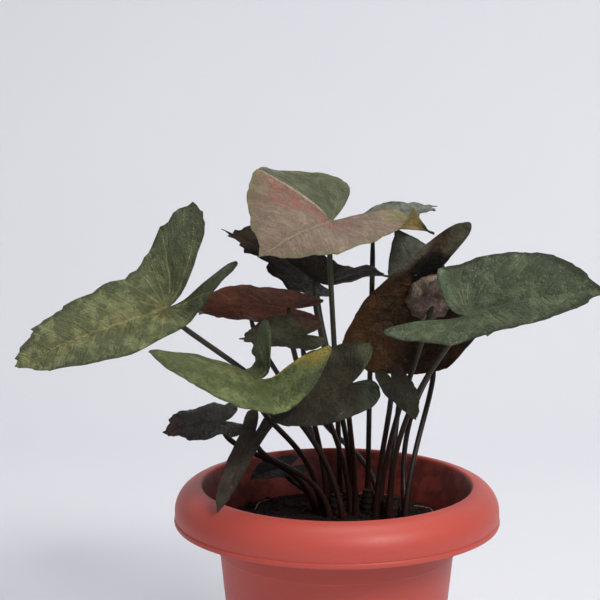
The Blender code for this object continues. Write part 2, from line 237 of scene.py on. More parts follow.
def tubes(name: str, runs: Sequence[Route], roundness: int) -> Mesh:
    """Make round tapering tubes along routes.

    Args:
        name: Name of the mesh data.
        runs: For each tube its route, as points with a radius each.
        roundness: Bevel resolution of the round section.

    Returns:
        One mesh that holds all the tubes, with closed ends.
    """
    data = bpy.data.curves.new(name, "CURVE")
    data.dimensions = "3D"
    data.bevel_depth = MM
    data.bevel_resolution = roundness
    data.use_fill_caps = True
    for run in runs:
        spline = data.splines.new("POLY")
        spline.points.add(len(run) - 1)
        for point, (place, radius) in zip(spline.points, run):
            point.co = (*(place * MM), 1.0)
            point.radius = radius
    mesh = baked(loose(data, name))
    bpy.data.curves.remove(data)
    shape = bmesh.new()
    shape.from_mesh(mesh)
    bpy.data.meshes.remove(mesh)
    bmesh.ops.remove_doubles(shape, verts=shape.verts, dist=0.001 * MM)
    bmesh.ops.recalc_face_normals(shape, faces=shape.faces)
    return mesh_from(shape, name, 60.0)


def mapped(columns: int, rows: int, spot: Callable[[float, float], Spot]) -> Shape:
    """Bend a grid into a sheet with the two maps that a leaf's finish reads.

    Args:
        columns: Steps across the grid.
        rows: Steps up the grid.
        spot: Gives, for a place on the grid from 0 to 1 each way, the point in metres and
            its places on the blade map and on the reach map.

    Returns:
        The sheet.
    """
    shape = bmesh.new()
    bmesh.ops.create_grid(shape, x_segments=columns, y_segments=rows, size=0.5)
    maps = [shape.loops.layers.uv.new(name) for name in ("blade", "reach")]
    flats = {}
    for corner in shape.verts:
        corner.co, *flats[corner] = spot(corner.co.x + 0.5, corner.co.y + 0.5)
    for face in shape.faces:
        for loop in face.loops:
            for layer, flat in zip(maps, flats[loop.vert]):
                loop[layer].uv = flat
    return shape


def thickened(shape: Shape, name: str, thickness: float, finishes: int = 1) -> Mesh:
    """Give a sheet its thickness.

    Args:
        shape: The sheet, with its upper face outwards.
        name: Name of the mesh data.
        thickness: The thickness.
        finishes: Number of finishes; past 1, the lower face and the rim have the second.

    Returns:
        The closed mesh.
    """
    sheet = loose(mesh_from(shape, name), name)
    solid = sheet.modifiers.new("thickness", "SOLIDIFY")
    solid.thickness = thickness * MM
    if finishes > 1:
        for _ in range(finishes):
            sheet.data.materials.append(None)
        solid.material_offset = 1
        solid.material_offset_rim = 1
    return baked(sheet)


def publish(data: Mesh, name: str, finishes: Sequence[Material],
            stands_for: Sequence[str] = ()) -> Piece:
    """Show finished mesh data as a piece of the plant.

    Args:
        data: The mesh, in its place in the frame.
        name: Name of the piece.
        finishes: Its materials in slot order.
        stands_for: Solids that the piece replaces.

    Returns:
        The piece.
    """
    data.name = name
    data.materials.clear()
    for finish in finishes:
        data.materials.append(finish)
    piece = loose(data, name)
    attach(piece, BODY)
    if stands_for:
        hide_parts(*stands_for)
    data.calc_loop_triangles()
    LOG.info("%s: %d triangles", name, len(data.loop_triangles))
    return piece


# Sheets of shader nodes


class Wire:
    """One output of a shader node, which plain sums can be written with."""

    def __init__(self, sheet: "Sheet", socket: bpy.types.NodeSocket) -> None:
        """Hold the output and its sheet."""
        self.sheet, self.socket = sheet, socket

    def __add__(self, other: object) -> "Wire":
        """Add a wire or a number."""
        return self.sheet.math("ADD", self, other)

    def __sub__(self, other: object) -> "Wire":
        """Take a wire or a number away."""
        return self.sheet.math("SUBTRACT", self, other)

    def __rsub__(self, other: object) -> "Wire":
        """Take the wire away from a number."""
        return self.sheet.math("SUBTRACT", other, self)

    def __mul__(self, other: object) -> "Wire":
        """Multiply by a wire or a number."""
        return self.sheet.math("MULTIPLY", self, other)

    def __abs__(self) -> "Wire":
        """Drop the sign."""
        return self.sheet.math("ABSOLUTE", self)


Wires = dict[str, Wire]


class Sheet:
    """A sheet of shader nodes that a finish or an effect is laid out on."""

    def __init__(self, tree: bpy.types.NodeTree) -> None:
        """Start on a node tree."""
        self.tree = tree

    def feed(self, socket: bpy.types.NodeSocket, value: object) -> None:
        """Link a socket to a wire, or set it to a plain value.

        Args:
            socket: The socket.
            value: A wire, a number, a vector or a colour.
        """
        if isinstance(value, Wire):
            self.tree.links.new(value.socket, socket)
        else:
            socket.default_value = (*value, 1.0) if socket.type == "RGBA" else value

    def node(self, kind: str, output: object, inputs: dict[object, object], **settings: object) -> Wire:
        """Add a node, fill its inputs and take one output.

        Args:
            kind: The node's type, without its first word.
            output: The output's name or number.
            inputs: Wires or values, by the input's name or number.
            **settings: Values for the node's own settings.

        Returns:
            The output's wire.
        """
        made = self.tree.nodes.new("ShaderNode" + kind)
        for key, value in settings.items():
            setattr(made, key, value)
        for key, value in inputs.items():
            self.feed(made.inputs[key], value)
        return Wire(self, made.outputs[output])

    def outputs(self, wire: Wire) -> Wires:
        """Find all the outputs of the node that a wire comes from."""
        return {socket.name: Wire(self, socket) for socket in wire.socket.node.outputs}

    def math(self, operation: str, *values: object) -> Wire:
        """Do one sum with the Math node."""
        return self.node("Math", 0, dict(enumerate(values)), operation=operation)

    def smooth(self, value: Wire, low: object, high: object, start: float = 0.0, end: float = 1.0) -> Wire:
        """Ease a value from start at low to end at high."""
        given = dict(enumerate((value, low, high, start, end)))
        return self.node("MapRange", 0, given, interpolation_type="SMOOTHSTEP")

    def length(self, along: Wire, across: Wire) -> Wire:
        """Find the length of a flat vector."""
        return self.math("SQRT", along * along + across * across)

    def mix(self, share: object, first: object, second: object) -> Wire:
        """Mix two colours, with a share of the second."""
        return self.node("Mix", 2, {0: share, 6: first, 7: second}, data_type="RGBA")

    def over(self, colour: Wire, *layers: tuple[object, object]) -> Wire:
        """Lay tints over a colour.

        Args:
            colour: The colour beneath.
            *layers: For each tint its share and its colour.

        Returns:
            The colour that shows.
        """
        for share, tint in layers:
            colour = self.mix(share, colour, tint)
        return colour

    def noise(self, vector: Wire, scale: float, detail: float = 3.0, roughness: float = 0.55) -> Wire:
        """Lay smooth noise over a vector, with its octaves and their strength."""
        given = {"Vector": vector, "Scale": scale, "Detail": detail, "Roughness": roughness}
        return self.node("TexNoise", "Fac", given)

    def cells(self, vector: Wire, scale: float, feature: str) -> Wire:
        """Lay a cell pattern over a vector and read a distance in it."""
        return self.node("TexVoronoi", "Distance", {"Vector": vector, "Scale": scale}, feature=feature)

    def split(self, vector: Wire) -> tuple[Wire, ...]:
        """Split a vector into its three numbers."""
        return tuple(self.outputs(self.node("SeparateXYZ", 0, {0: vector})).values())

    def vector(self, *values: Wire) -> Wire:
        """Join three numbers into a vector."""
        return self.node("CombineXYZ", 0, dict(enumerate(values)))

    def stretch(self, vector: Wire, scale: Place) -> Wire:
        """Scale a vector axis by axis."""
        return self.node("VectorMath", 0, {0: vector, 1: scale}, operation="MULTIPLY")

    def wobbled(self, vector: Wire, scale: float, amount: float) -> Wire:
        """Shift a vector about by smooth noise.

        Args:
            vector: The vector.
            scale: The noise's scale.
            amount: How far it shifts.

        Returns:
            The shifted vector.
        """
        moved = self.node("TexNoise", "Color", {"Vector": vector, "Scale": scale, "Detail": 2.0})
        centred = self.node("VectorMath", 0, {0: moved, 1: (0.5, 0.5, 0.5)}, operation="SUBTRACT")
        given = {0: centred, 1: (amount, amount, amount), 2: vector}
        return self.node("VectorMath", 0, given, operation="MULTIPLY_ADD")

    def uv(self, name: str) -> Wire:
        """Read one of a piece's UV maps by name."""
        return self.node("UVMap", 0, {}, uv_map=name)

    def place(self) -> Wire:
        """Read Object coordinates."""
        return self.node("TexCoord", "Object", {})

    def bump(self, height: Wire, strength: float, distance: float) -> Wire:
        """Turn a height into a bumped normal, with a strength and a depth in metres."""
        return self.node("Bump", 0, {"Height": height, "Strength": strength, "Distance": distance})

    def effect(self, group: bpy.types.NodeTree, **values: object) -> Wires:
        """Place a shared effect, with wires or values for its inputs."""
        return self.outputs(self.node("Group", 0, values, node_tree=group))


class Paint(Sheet):
    """A material's own sheet."""

    def __init__(self, name: str) -> None:
        """Start a material.

        Args:
            name: Its name.
        """
        self.material = bpy.data.materials.new(name)
        self.material.use_nodes = True
        super().__init__(self.material.node_tree)

    def coat(self, colour: Wire, roughness: object, sheen: float,
             normal: Optional[Wire] = None) -> Material:
        """Set the inputs of the Principled shader.

        Args:
            colour: Its base colour.
            roughness: Its roughness.
            sheen: Its specular level.
            normal: Its normal, where it is bumped.

        Returns:
            The material.
        """
        inputs = self.tree.nodes["Principled BSDF"].inputs
        self.feed(inputs["Base Color"], colour)
        self.feed(inputs["Roughness"], roughness)
        inputs["Specular IOR Level"].default_value = sheen
        if normal is not None:
            self.feed(inputs["Normal"], normal)
        return self.material


# Layout of the veins, as shares of the midrib and in radians
VEIN_LEAN = 0.75
VEIN_BOW = 0.5
VEIN_SWING = 0.35
VEIN_SPACING = 0.13
FIRST_BASAL_VEIN = 0.62
BASAL_VEIN_TURN = 0.44

# Scales of the patterns: the net on a leaf's own map, the others to the metre
NET_SCALE = 34.0
SPECK_SCALE = 420.0
BROAD_SCALE = 38.0
FINE_SCALE = 420.0
PATCH_SCALE = 85.0
PALE_SCALE = 120.0


class Effects:
    """Effects that several finishes share, each a node group built once."""

    def __init__(self) -> None:
        """Build every effect."""
        veined = {"Map": None, "Reach": 0.5, "Spacing": VEIN_SPACING}
        self.veins = self.group("leaf_veins", veined, self.lay_veins)
        self.speckle = self.group("speckle", {"Place": None, "Size": 0.25}, self.lay_speckle)
        self.mottle = self.group("mottle", {"Place": None}, self.lay_mottle)

    @staticmethod
    def group(name: str, inputs: dict[str, Optional[float]],
              lay: Callable[[Sheet, Wires], Wires]) -> bpy.types.NodeTree:
        """Make a node group.

        Args:
            name: The group's name.
            inputs: For each input its default, or None where it is a vector.
            lay: Lays out the sheet between the inputs and the outputs that it returns.

        Returns:
            The group.
        """
        tree = bpy.data.node_groups.new(name, "ShaderNodeTree")
        for key, default in inputs.items():
            kind = "NodeSocketVector" if default is None else "NodeSocketFloat"
            socket = tree.interface.new_socket(name=key, in_out="INPUT", socket_type=kind)
            if default is not None:
                socket.default_value = default
        sheet = Sheet(tree)
        given = tree.nodes.new("NodeGroupInput").outputs
        results = lay(sheet, {key: Wire(sheet, given[key]) for key in inputs})
        for key in results:
            tree.interface.new_socket(name=key, in_out="OUTPUT", socket_type="NodeSocketFloat")
        taken = tree.nodes.new("NodeGroupOutput").inputs
        for key, wire in results.items():
            sheet.feed(taken[key], wire)
        return tree

    @staticmethod
    def lay_veins(sheet: Sheet, given: Wires) -> Wires:
        """Lay out the veins of an arrowhead leaf on its own flat map.

        Args:
            sheet: The group's sheet.
            given: Map, Reach and Spacing.

        Returns:
            Masks of the midrib, the side veins, the basal veins and the net, and streaks.
        """
        along, across, _ = sheet.split(sheet.wobbled(given["Map"], 5.0, 0.045))
        side = abs(across)
        run = along - side * VEIN_LEAN - side * side * VEIN_BOW
        half = given["Spacing"] * 0.5
        far = sheet.length(along, side)
        swung = sheet.math("ARCTAN2", side, along) + far * VEIN_SWING - FIRST_BASAL_VEIN
        front = sheet.math("PINGPONG", run, half) * 0.75
        back = sheet.math("PINGPONG", swung, BASAL_VEIN_TURN / 2) * far
        ahead = sheet.math("GREATER_THAN", run, half)
        behind = 1.0 - ahead
        thin = sheet.smooth(given["Reach"], 0.25, 1.0, 0.011, 0.004)
        fade = sheet.smooth(given["Reach"], 0.75, 1.0, 1.0, 0.25)
        veins = sheet.smooth(front * ahead + back * behind, 0.0, thin, 1.0, 0.0) * fade
        rib_width = sheet.smooth(along, 0.0, 1.0, 0.016, 0.004)
        rib = sheet.smooth(side, 0.0, rib_width, 1.0, 0.0) * sheet.smooth(along, -0.03, 0.0)
        net = sheet.cells(given["Map"], NET_SCALE, "DISTANCE_TO_EDGE")
        left = sheet.math("GREATER_THAN", across, 0.0) * 9.0
        lines = sheet.noise(sheet.vector(run * 46.0, side * 5.0, left), 1.0, 4.0, 0.6)
        fan = sheet.noise(sheet.vector(swung * 13.0, far * 4.5, left), 1.0, 4.0, 0.6)
        softly = sheet.smooth(run, -0.02, 0.16)
        return {
            "Midrib": rib,
            "Side": veins * ahead,
            "Basal": veins * behind,
            "Net": sheet.smooth(net, 0.0, 0.12, 1.0, 0.0),
            "Streak": sheet.smooth(lines * softly + fan * (1.0 - softly), 0.36, 0.66),
        }

    @staticmethod
    def lay_speckle(sheet: Sheet, given: Wires) -> Wires:
        """Scatter small pale specks, as dried drops and dust leave.

        Args:
            sheet: The group's sheet.
            given: Place and Size.

        Returns:
            The specks' mask.
        """
        dots = sheet.smooth(sheet.cells(given["Place"], SPECK_SCALE, "F1"), 0.0, given["Size"], 1.0, 0.0)
        return {"Specks": dots * sheet.smooth(sheet.noise(given["Place"], 60.0, 2.0), 0.48, 0.62)}

    @staticmethod
    def lay_mottle(sheet: Sheet, given: Wires) -> Wires:
        """Lay soft patches of several sizes, for colour that changes over a surface.

        Args:
            sheet: The group's sheet.
            given: Place.

        Returns:
            Masks of broad and fine change, of patches and of pale spots.
        """
        place = given["Place"]
        moved = sheet.wobbled(place, 70.0, 0.02)
        return {
            "Broad": sheet.smooth(sheet.noise(place, BROAD_SCALE, 3.0), 0.35, 0.65),
            "Fine": sheet.smooth(sheet.noise(place, FINE_SCALE, 4.0, 0.65), 0.3, 0.7),
            "Patches": sheet.smooth(sheet.noise(place, PATCH_SCALE, 6.0, 0.72), 0.43, 0.59),
            "Pale": sheet.smooth(sheet.noise(moved, PALE_SCALE, 5.0, 0.7), 0.5, 0.66),
        }


# Finishes

SPECK = (0.42, 0.42, 0.36)
# near-black of the painted shade round a stalk's top
PAINTED_SHADE_COLOUR = (0.003, 0.002, 0.002)
BLADE_BUMP = (0.8, 0.0013)


@dataclass(frozen=True)
class Flush:
    """A tint that spreads in from part of a leaf's edge, mostly the leaf's own colour; a few are painted
    shade on a lobe.

    The bearing is in radians about the stalk's top, 0 towards the tip and the left
    half positive; the width is the tint's reach to each side of it.
    """

    colour: Colour
    bearing: float
    width: float
    start: float = 0.45
    strength: float = 0.9


@dataclass(frozen=True)
class LeafFinish:
    """Colours of one leaf, light that it gives back, as plain linear colour."""

    main: Colour
    second: Colour
    vein: Colour
    margin: Colour
    under: Colour
    under_vein: Colour
    vein_strength: float = 0.16
    basal_strength: float = 0.4
    margin_strength: float = 0.6
    patches: float = 0.45
    streaks: float = 0.3
    streak: Optional[Colour] = None
    specks: float = 0.15
    gloss: float = 0.5
    sheen: float = 0.32
    glow: float = 0.2               # share of the vein's colour beside the midrib
    painted_shade_reach: float = 0.0             # reach of the painted shade round the stalk's top, below
    split: Optional[float] = None   # bearing in radians past which second takes over
    blush: Optional[Colour] = None  # colour close to the split and the midrib's root
    flushes: tuple[Flush, ...] = ()

    def ground(self, sheet: Sheet, flat: Wire, mottle: Wires, streak: Wire) -> Wire:
        """Lay the colour that lies beneath the veins and the edge.

        Args:
            sheet: The sheet to lay it on.
            flat: The leaf's own map.
            mottle: The mottle effect.
            streak: The veins' streaks.

        Returns:
            The colour.
        """
        drawn = (streak * self.streaks, self.streak or scaled(self.main, 0.6))
        along, across, _ = sheet.split(flat)
        if self.split is None:
            beside = sheet.smooth(abs(across), 0.0, 0.2, 1.0, 0.0)
            return sheet.over(
                sheet.mix(mottle["Broad"], self.main, self.second),
                (beside * sheet.smooth(along, -0.15, 0.15, 0.0, self.glow), self.vein),
                (mottle["Pale"] * (self.patches * 0.8), scaled(self.main, 1.5)),
                (mottle["Patches"] * self.patches, scaled(self.second, 0.42)), drawn)
        bearing, far = sheet.math("ARCTAN2", across, along), sheet.length(along, across)
        beside = sheet.smooth(abs(bearing - (self.split + 0.3)), 0.1, 0.42, 1.0, 0.0)
        rooted = sheet.math("MAXIMUM", sheet.smooth(far, 0.03, 0.3, 0.9, 0.0), beside)
        fading = rooted * sheet.smooth(far, 0.35, 0.95, 1.0, 0.25)
        near_part = sheet.over(
            sheet.mix(mottle["Broad"], scaled(self.main, 1.12), scaled(self.main, 0.72)),
            (mottle["Pale"] * 0.5, scaled(self.main, 1.4)), drawn,
            (fading * (mottle["Patches"] * 0.7 + 0.15), self.blush or self.main))
        far_part = sheet.over(
            sheet.mix(mottle["Broad"], self.second, scaled(self.second, 0.6)),
            (mottle["Pale"] * 0.4, scaled(self.second, 1.5)))
        aside = far * (bearing - self.split)
        crest = sheet.smooth(abs(aside), 0.004, 0.020, 0.9, 0.0) * sheet.smooth(far, 0.02, 0.12)
        return sheet.over(near_part, (sheet.smooth(aside, -0.012, 0.006, 1.0, 0.0), far_part),
                          (crest, self.vein))

    def flushed(self, sheet: Sheet, flat: Wire, reach: Wire, colour: Wire) -> Wire:
        """Lay the tints that spread in from the edge.

        Args:
            sheet: The sheet to lay them on.
            flat: The leaf's own map.
            reach: Share of the way from the stalk to the edge.
            colour: The colour beneath.

        Returns:
            The colour that shows.
        """
        along, across, _ = sheet.split(flat)
        bearing = sheet.math("ARCTAN2", across, along)
        for flush in self.flushes:
            beside = sheet.smooth(abs(bearing - flush.bearing), flush.width * 0.4, flush.width, 1.0, 0.0)
            mask = beside * sheet.smooth(reach, flush.start, flush.start + 0.3)
            colour = sheet.mix(mask * flush.strength, colour, flush.colour)
        return colour

    @staticmethod
    def begin(name: str, effects: Effects) -> tuple[Paint, Wire, Wire, Wires, Wires]:
        """Start the finish of one face of a blade.

        Args:
            name: The material's name.
            effects: The shared effects.

        Returns:
            The paint, the leaf's own map, the reach, the mottle effect and the veins.
        """
        paint = Paint(name)
        flat, reach = paint.uv("blade"), paint.split(paint.uv("reach"))[0]
        mottle = paint.effect(effects.mottle, Place=paint.place())
        veins = paint.effect(effects.veins, Map=flat, Reach=reach, Spacing=VEIN_SPACING)
        return paint, flat, reach, mottle, veins

    def upper(self, name: str, effects: Effects) -> Material:
        """Make the finish of the upper face.

        Args:
            name: The leaf's name.
            effects: The shared effects.

        Returns:
            The material.
        """
        paint, flat, reach, mottle, veins = self.begin("upper_" + name, effects)
        specks = paint.effect(effects.speckle, Place=paint.place(), Size=0.3)["Specks"]
        colour = self.ground(paint, flat, mottle, veins["Streak"])
        colour = paint.mix(mottle["Fine"] * 0.2, colour, scaled(self.second, 0.5))
        colour = self.flushed(paint, flat, reach, colour)
        broken = paint.smooth(mottle["Patches"], 0.0, 1.0, 1.0, 0.45)
        side = veins["Side"] * self.vein_strength + veins["Basal"] * self.basal_strength
        edge = paint.smooth(reach + mottle["Patches"] * 0.07, 0.945, 1.02)
        colour = paint.over(
            colour, (veins["Net"] * (0.3 * self.vein_strength), self.vein), (side * broken, self.vein),
            (veins["Midrib"] * (0.5 + self.vein_strength) * broken, self.vein),
            (edge * self.margin_strength, self.margin), (specks * self.specks, SPECK))
        rough = paint.smooth(mottle["Fine"], 0.0, 1.0, self.gloss - 0.1, self.gloss + 0.16)
        height = (veins["Side"] * -0.3 + veins["Net"] * -0.3 + mottle["Fine"] * 0.4
                  + mottle["Patches"] * 1.2 + veins["Streak"] * 0.8)
        return paint.coat(colour, rough, self.sheen, paint.bump(height, *BLADE_BUMP))

    def lower(self, name: str, effects: Effects) -> Material:
        """Make the finish of the lower face.

        Args:
            name: The leaf's name.
            effects: The shared effects.

        Returns:
            The material.
        """
        paint, flat, reach, mottle, veins = self.begin("under_" + name, effects)
        dark = scaled(self.under, 0.5)
        colour = paint.over(
            paint.mix(mottle["Broad"], self.under, blend(self.under_vein, self.under, 0.6)),
            (mottle["Patches"] * 0.65, dark), (veins["Streak"] * 0.35, dark),
            (mottle["Pale"] * 0.45, scaled(self.under, 1.6)))
        lines = veins["Side"] * 0.2 + veins["Basal"] * 0.5 + veins["Midrib"] * 0.4
        colour = paint.over(self.flushed(paint, flat, reach, colour),
                            (veins["Net"] * 0.12, self.under_vein), (lines, self.under_vein))
        # painted shade: darkness laid round the stalk's top
        if self.painted_shade_reach > 0.0:
            along, across, _ = paint.split(paint.wobbled(flat, 6.0, 0.08))
            shade = paint.smooth(paint.length(along, across), self.painted_shade_reach * 0.7, self.painted_shade_reach, 0.95, 0.0)
            colour = paint.mix(shade, colour, PAINTED_SHADE_COLOUR)
        rough = paint.smooth(mottle["Fine"], 0.0, 1.0, self.gloss - 0.08, self.gloss + 0.16)
        height = veins["Side"] + veins["Net"] * 0.4 + mottle["Patches"] * 2.0
        return paint.coat(colour, rough, self.sheen, paint.bump(height, *BLADE_BUMP))

    def ribs(self, name: str) -> Material:
        """Make the finish of the raised ribs under the blade.

        Args:
            name: The leaf's name.

        Returns:
            The material.
        """
        paint = Paint("rib_" + name)
        soft = paint.smooth(paint.noise(paint.place(), 150.0), 0.35, 0.65)
        dull = blend(self.under_vein, self.under, 0.4)
        return paint.coat(paint.mix(soft, dull, self.under), 0.5, 0.32)


@dataclass(frozen=True)
class StalkFinish:
    """Colours of a leaf stalk from its foot to its top, with heights in metres."""

    foot: Colour = (0.024, 0.007, 0.005)
    middle: Colour = (0.018, 0.008, 0.005)
    top: Colour = (0.030, 0.034, 0.015)
    pale: Colour = (0.060, 0.034, 0.022)
    dark: Colour = (0.008, 0.004, 0.003)
    low: Pair = (0.134, 0.175)
    high: Pair = (0.18, 0.30)
    grain: Place = (900.0, 900.0, 60.0)

    def material(self, name: str, effects: Effects) -> Material:
        """Make the finish.

        Args:
            name: The leaf's name.
            effects: The shared effects.

        Returns:
            The material.
        """
        paint = Paint("stalk_" + name)
        place = paint.place()
        height = paint.split(place)[2]
        streak = paint.noise(paint.stretch(place, self.grain), 1.0, 2.0)
        colour = paint.over(
            paint.mix(paint.smooth(height, *self.low), self.foot, self.middle),
            (paint.smooth(height, *self.high), self.top),
            (paint.smooth(streak, 0.5, 0.75, 0.0, 0.45), self.pale),
            (paint.effect(effects.mottle, Place=place)["Fine"] * 0.3, self.dark))
        return paint.coat(colour, 0.42, 0.3, paint.bump(streak, 0.35, 0.0003))


@dataclass(frozen=True)
class PotFinish:
    """Moulded plastic of the pot, with places and heights in metres."""

    main: Colour = (0.48, 0.072, 0.053)
    worn: Colour = (0.58, 0.17, 0.14)
    # inside: the inner wall above the soil, partly soil stain and partly painted shade in the pot's mouth
    inside: Colour = (0.075, 0.010, 0.006)
    dirt: Colour = (0.10, 0.045, 0.03)
    mouth: float = 0.0846
    stain_and_shade_from: float = 0.127
    dirt_to: float = 0.035
    roughness: float = 0.42
    scuffs: Place = (60.0, 60.0, 420.0)

    def material(self, effects: Effects) -> Material:
        """Make the finish.

        Args:
            effects: The shared effects.

        Returns:
            The material.
        """
        paint = Paint("pot_plastic")
        place = paint.place()
        mottle = paint.effect(effects.mottle, Place=place)
        east, north, height = paint.split(place)
        broad = paint.smooth(paint.noise(place, 9.0, 2.0), 0.3, 0.7)
        scuff = paint.smooth(paint.noise(paint.stretch(place, self.scuffs), 1.0, 4.0, 0.7), 0.62, 0.8)
        low = paint.smooth(height, 0.0, self.dirt_to, 1.0, 0.0) * mottle["Broad"]
        # the inner wall above the soil darkens, partly soil stain and partly painted shade in the pot's
        # mouth
        within = paint.smooth(paint.length(east, north), self.mouth - 0.0012, self.mouth, 1.0, 0.0)
        within = within * paint.math("GREATER_THAN", height, self.stain_and_shade_from)
        stain_and_shade = paint.smooth(mottle["Patches"], 0.0, 1.0, 0.7, 0.92)
        colour = paint.over(
            paint.mix(broad * 0.12, self.main, scaled(self.main, 0.7)), (scuff * 0.22, self.worn),
            (low * 0.35, self.dirt), (within * stain_and_shade, self.inside))
        rough = scuff * 0.16 + self.roughness + mottle["Fine"] * 0.06
        grain = paint.noise(place, 1400.0, 2.0)
        return paint.coat(colour, rough, 0.35, paint.bump(grain, 0.12, 0.0002))


@dataclass(frozen=True)
class GroundFinish:
    """Soil, crumbs, bark or straw: a rough dull surface of two colours."""

    dark: Colour
    light: Colour
    scale: float = 260.0
    share: float = 0.5
    bump: float = 0.0012

    def material(self, name: str) -> Material:
        """Make the finish.

        Args:
            name: The material's name.

        Returns:
            The material.
        """
        paint = Paint(name)
        grain = paint.noise(paint.place(), self.scale, 5.0, 0.7)
        patches = paint.smooth(grain, 0.42, 0.75, 0.0, self.share * 2)
        return paint.coat(paint.mix(patches, self.dark, self.light),
                          paint.smooth(grain, 0.2, 0.8, 0.98, 0.8), 0.2, paint.bump(grain, 0.8, self.bump))


# The pot


@dataclass
class Pot:
    """The round plastic pot with its rolled collar."""

    height: float = 158.0
    lip_radius: float = 85.0
    collar_radius: float = 101.0
    collar_depth: float = 24.0
    collar_round: float = 16.5
    bead_height: float = 3.5
    bead_stand: float = 0.4
    wall: float = 2.3
    body_radius: float = 75.5
    band_bottom: float = 42.0
    band_step: float = 1.3
    band_taper: float = 1.2
    base_radius: float = 61.5
    foot_round: float = 2.0
    soil_below_lip: float = 24.0
    drain_holes: int = 6
    drain_radius: float = 4.0
    drain_circle: float = 36.0
    steps: int = 160
    arc_steps: int = 18
    bead_steps: int = 8
    foot_steps: int = 5

    @property
    def throat_depth(self) -> float:
        """Depth below the lip at which the flared mouth ends."""
        return self.soil_below_lip + 3.0

    def inner_radius(self, depth: float) -> float:
        """Find the pot's inner radius.

        Args:
            depth: Depth below the lip.

        Returns:
            The radius.
        """
        mouth = self.lip_radius - 0.6
        throat = self.body_radius - self.wall
        if depth < self.throat_depth:
            return mouth + (throat - mouth) * depth / self.throat_depth
        share = (depth - self.throat_depth) / (self.height - self.throat_depth)
        return throat + (self.base_radius - self.wall - throat) * share

    def shoulder(self, trim: float) -> list[Point]:
        """Draw the collar's round shoulder from the lip outwards.

        Args:
            trim: How far the curve is set in.

        Returns:
            Its points of radius and height.
        """
        points = []
        for step in range(self.arc_steps + 1):
            turn = math.pi / 2 * step / self.arc_steps
            radius = self.lip_radius + (self.collar_radius - self.lip_radius - trim) * math.sin(turn)
            depth = trim + (self.collar_round - trim) * (1 - math.cos(turn))
            points.append((radius, self.height - depth))
        return points

    def bead(self) -> list[Point]:
        """Draw the thin rounded bead along the collar's lower edge.

        Returns:
            Its points of radius and height, from inside out and up.
        """
        low = self.height - self.collar_depth
        half = self.bead_height / 2
        points = [(self.collar_radius - self.wall, low), (self.collar_radius - 0.6, low)]
        for step in range(self.bead_steps + 1):
            turn = -math.pi / 2 + math.pi * step / self.bead_steps
            points.append((self.collar_radius - 0.35 + (self.bead_stand + 0.35) * math.cos(turn),
                           low + half + half * 0.96 * math.sin(turn)))
        points.append((self.collar_radius - 0.25, low + self.bead_height + 0.3))
        points.append((self.collar_radius, low + self.bead_height + 1.1))
        return points

    def profile(self) -> list[Point]:
        """Draw the closed outline of the wall.

        Returns:
            Its points of radius and height, from the base's centre out, up and back in.
        """
        skirt_end = self.height - self.collar_depth
        band_end = self.height - self.band_bottom
        below_band = self.body_radius - self.band_step - self.band_taper
        on_band = self.body_radius - self.band_taper
        turns = (math.pi / 2 * step / self.foot_steps for step in range(self.foot_steps + 1))
        foot = [(self.base_radius - self.foot_round * (1 - math.sin(turn)),
                 self.foot_round * (1 - math.cos(turn))) for turn in turns]
        outside = [(0.0, 0.0), (self.base_radius * 0.5, 0.0)] + foot + [
            (below_band, band_end - 1.4),
            (below_band + 0.12, band_end - 0.9),
            (on_band - 0.35, band_end - 0.35),
            (on_band - 0.08, band_end + 0.1),
            (on_band, band_end + 0.8),
            (self.body_radius - 0.1, skirt_end - 4.0),
            (self.body_radius, skirt_end - 2.0),
            (self.lip_radius - 0.4, self.height - 2 * self.wall),
        ]
        lip = [(self.lip_radius - 0.25, self.height - 0.12), (self.lip_radius - 0.5, self.height - 0.45)]
        depths = (0.9, 4.0, 9.0, 16.0, self.throat_depth, 60.0, 90.0, self.height - 3 * self.wall)
        inside = [(self.inner_radius(depth), self.height - depth) for depth in depths]
        floor = [(self.base_radius - 3 * self.wall, self.wall), (self.base_radius * 0.45, self.wall),
                 (0.0, self.wall)]
        outer = self.shoulder(0.0)[::-1]
        return outside + self.shoulder(self.wall)[1:] + self.bead() + outer + lip + inside + floor

    def build(self, effects: Effects) -> Piece:
        """Make the pot.

        Args:
            effects: The shared effects.

        Returns:
            The piece.
        """
        body = loose(mesh_from(spun(self.profile(), self.steps), "pot_turned"), "pot_turned")
        group = bpy.data.collections.new("drain_cutters")
        for index in range(self.drain_holes):
            turn = math.tau * index / self.drain_holes
            shape = bmesh.new()
            bmesh.ops.create_cone(shape, cap_ends=True, segments=40, radius1=self.drain_radius * MM,
                                  radius2=self.drain_radius * MM, depth=4 * self.wall * MM)
            middle = Vector((math.cos(turn), math.sin(turn), 0)) * self.drain_circle * MM
            bmesh.ops.translate(shape, verts=shape.verts, vec=middle)
            cutter = bpy.data.objects.new(f"drain_cutter_{index}", mesh_from(shape, "drain_cutter"))
            group.objects.link(cutter)
        cut = body.modifiers.new("drain_holes", "BOOLEAN")
        cut.operand_type = "COLLECTION"
        cut.collection = group
        data = baked(body)
        for cutter in list(group.objects):
            bpy.data.objects.remove(cutter, do_unlink=True)
        bpy.data.collections.remove(group)
        data.shade_smooth()
        data.set_sharp_from_angle(angle=math.radians(32))
        return publish(data, "pot_body", [PotFinish().material(effects)], ["pot"])


# The soil and what lies on it


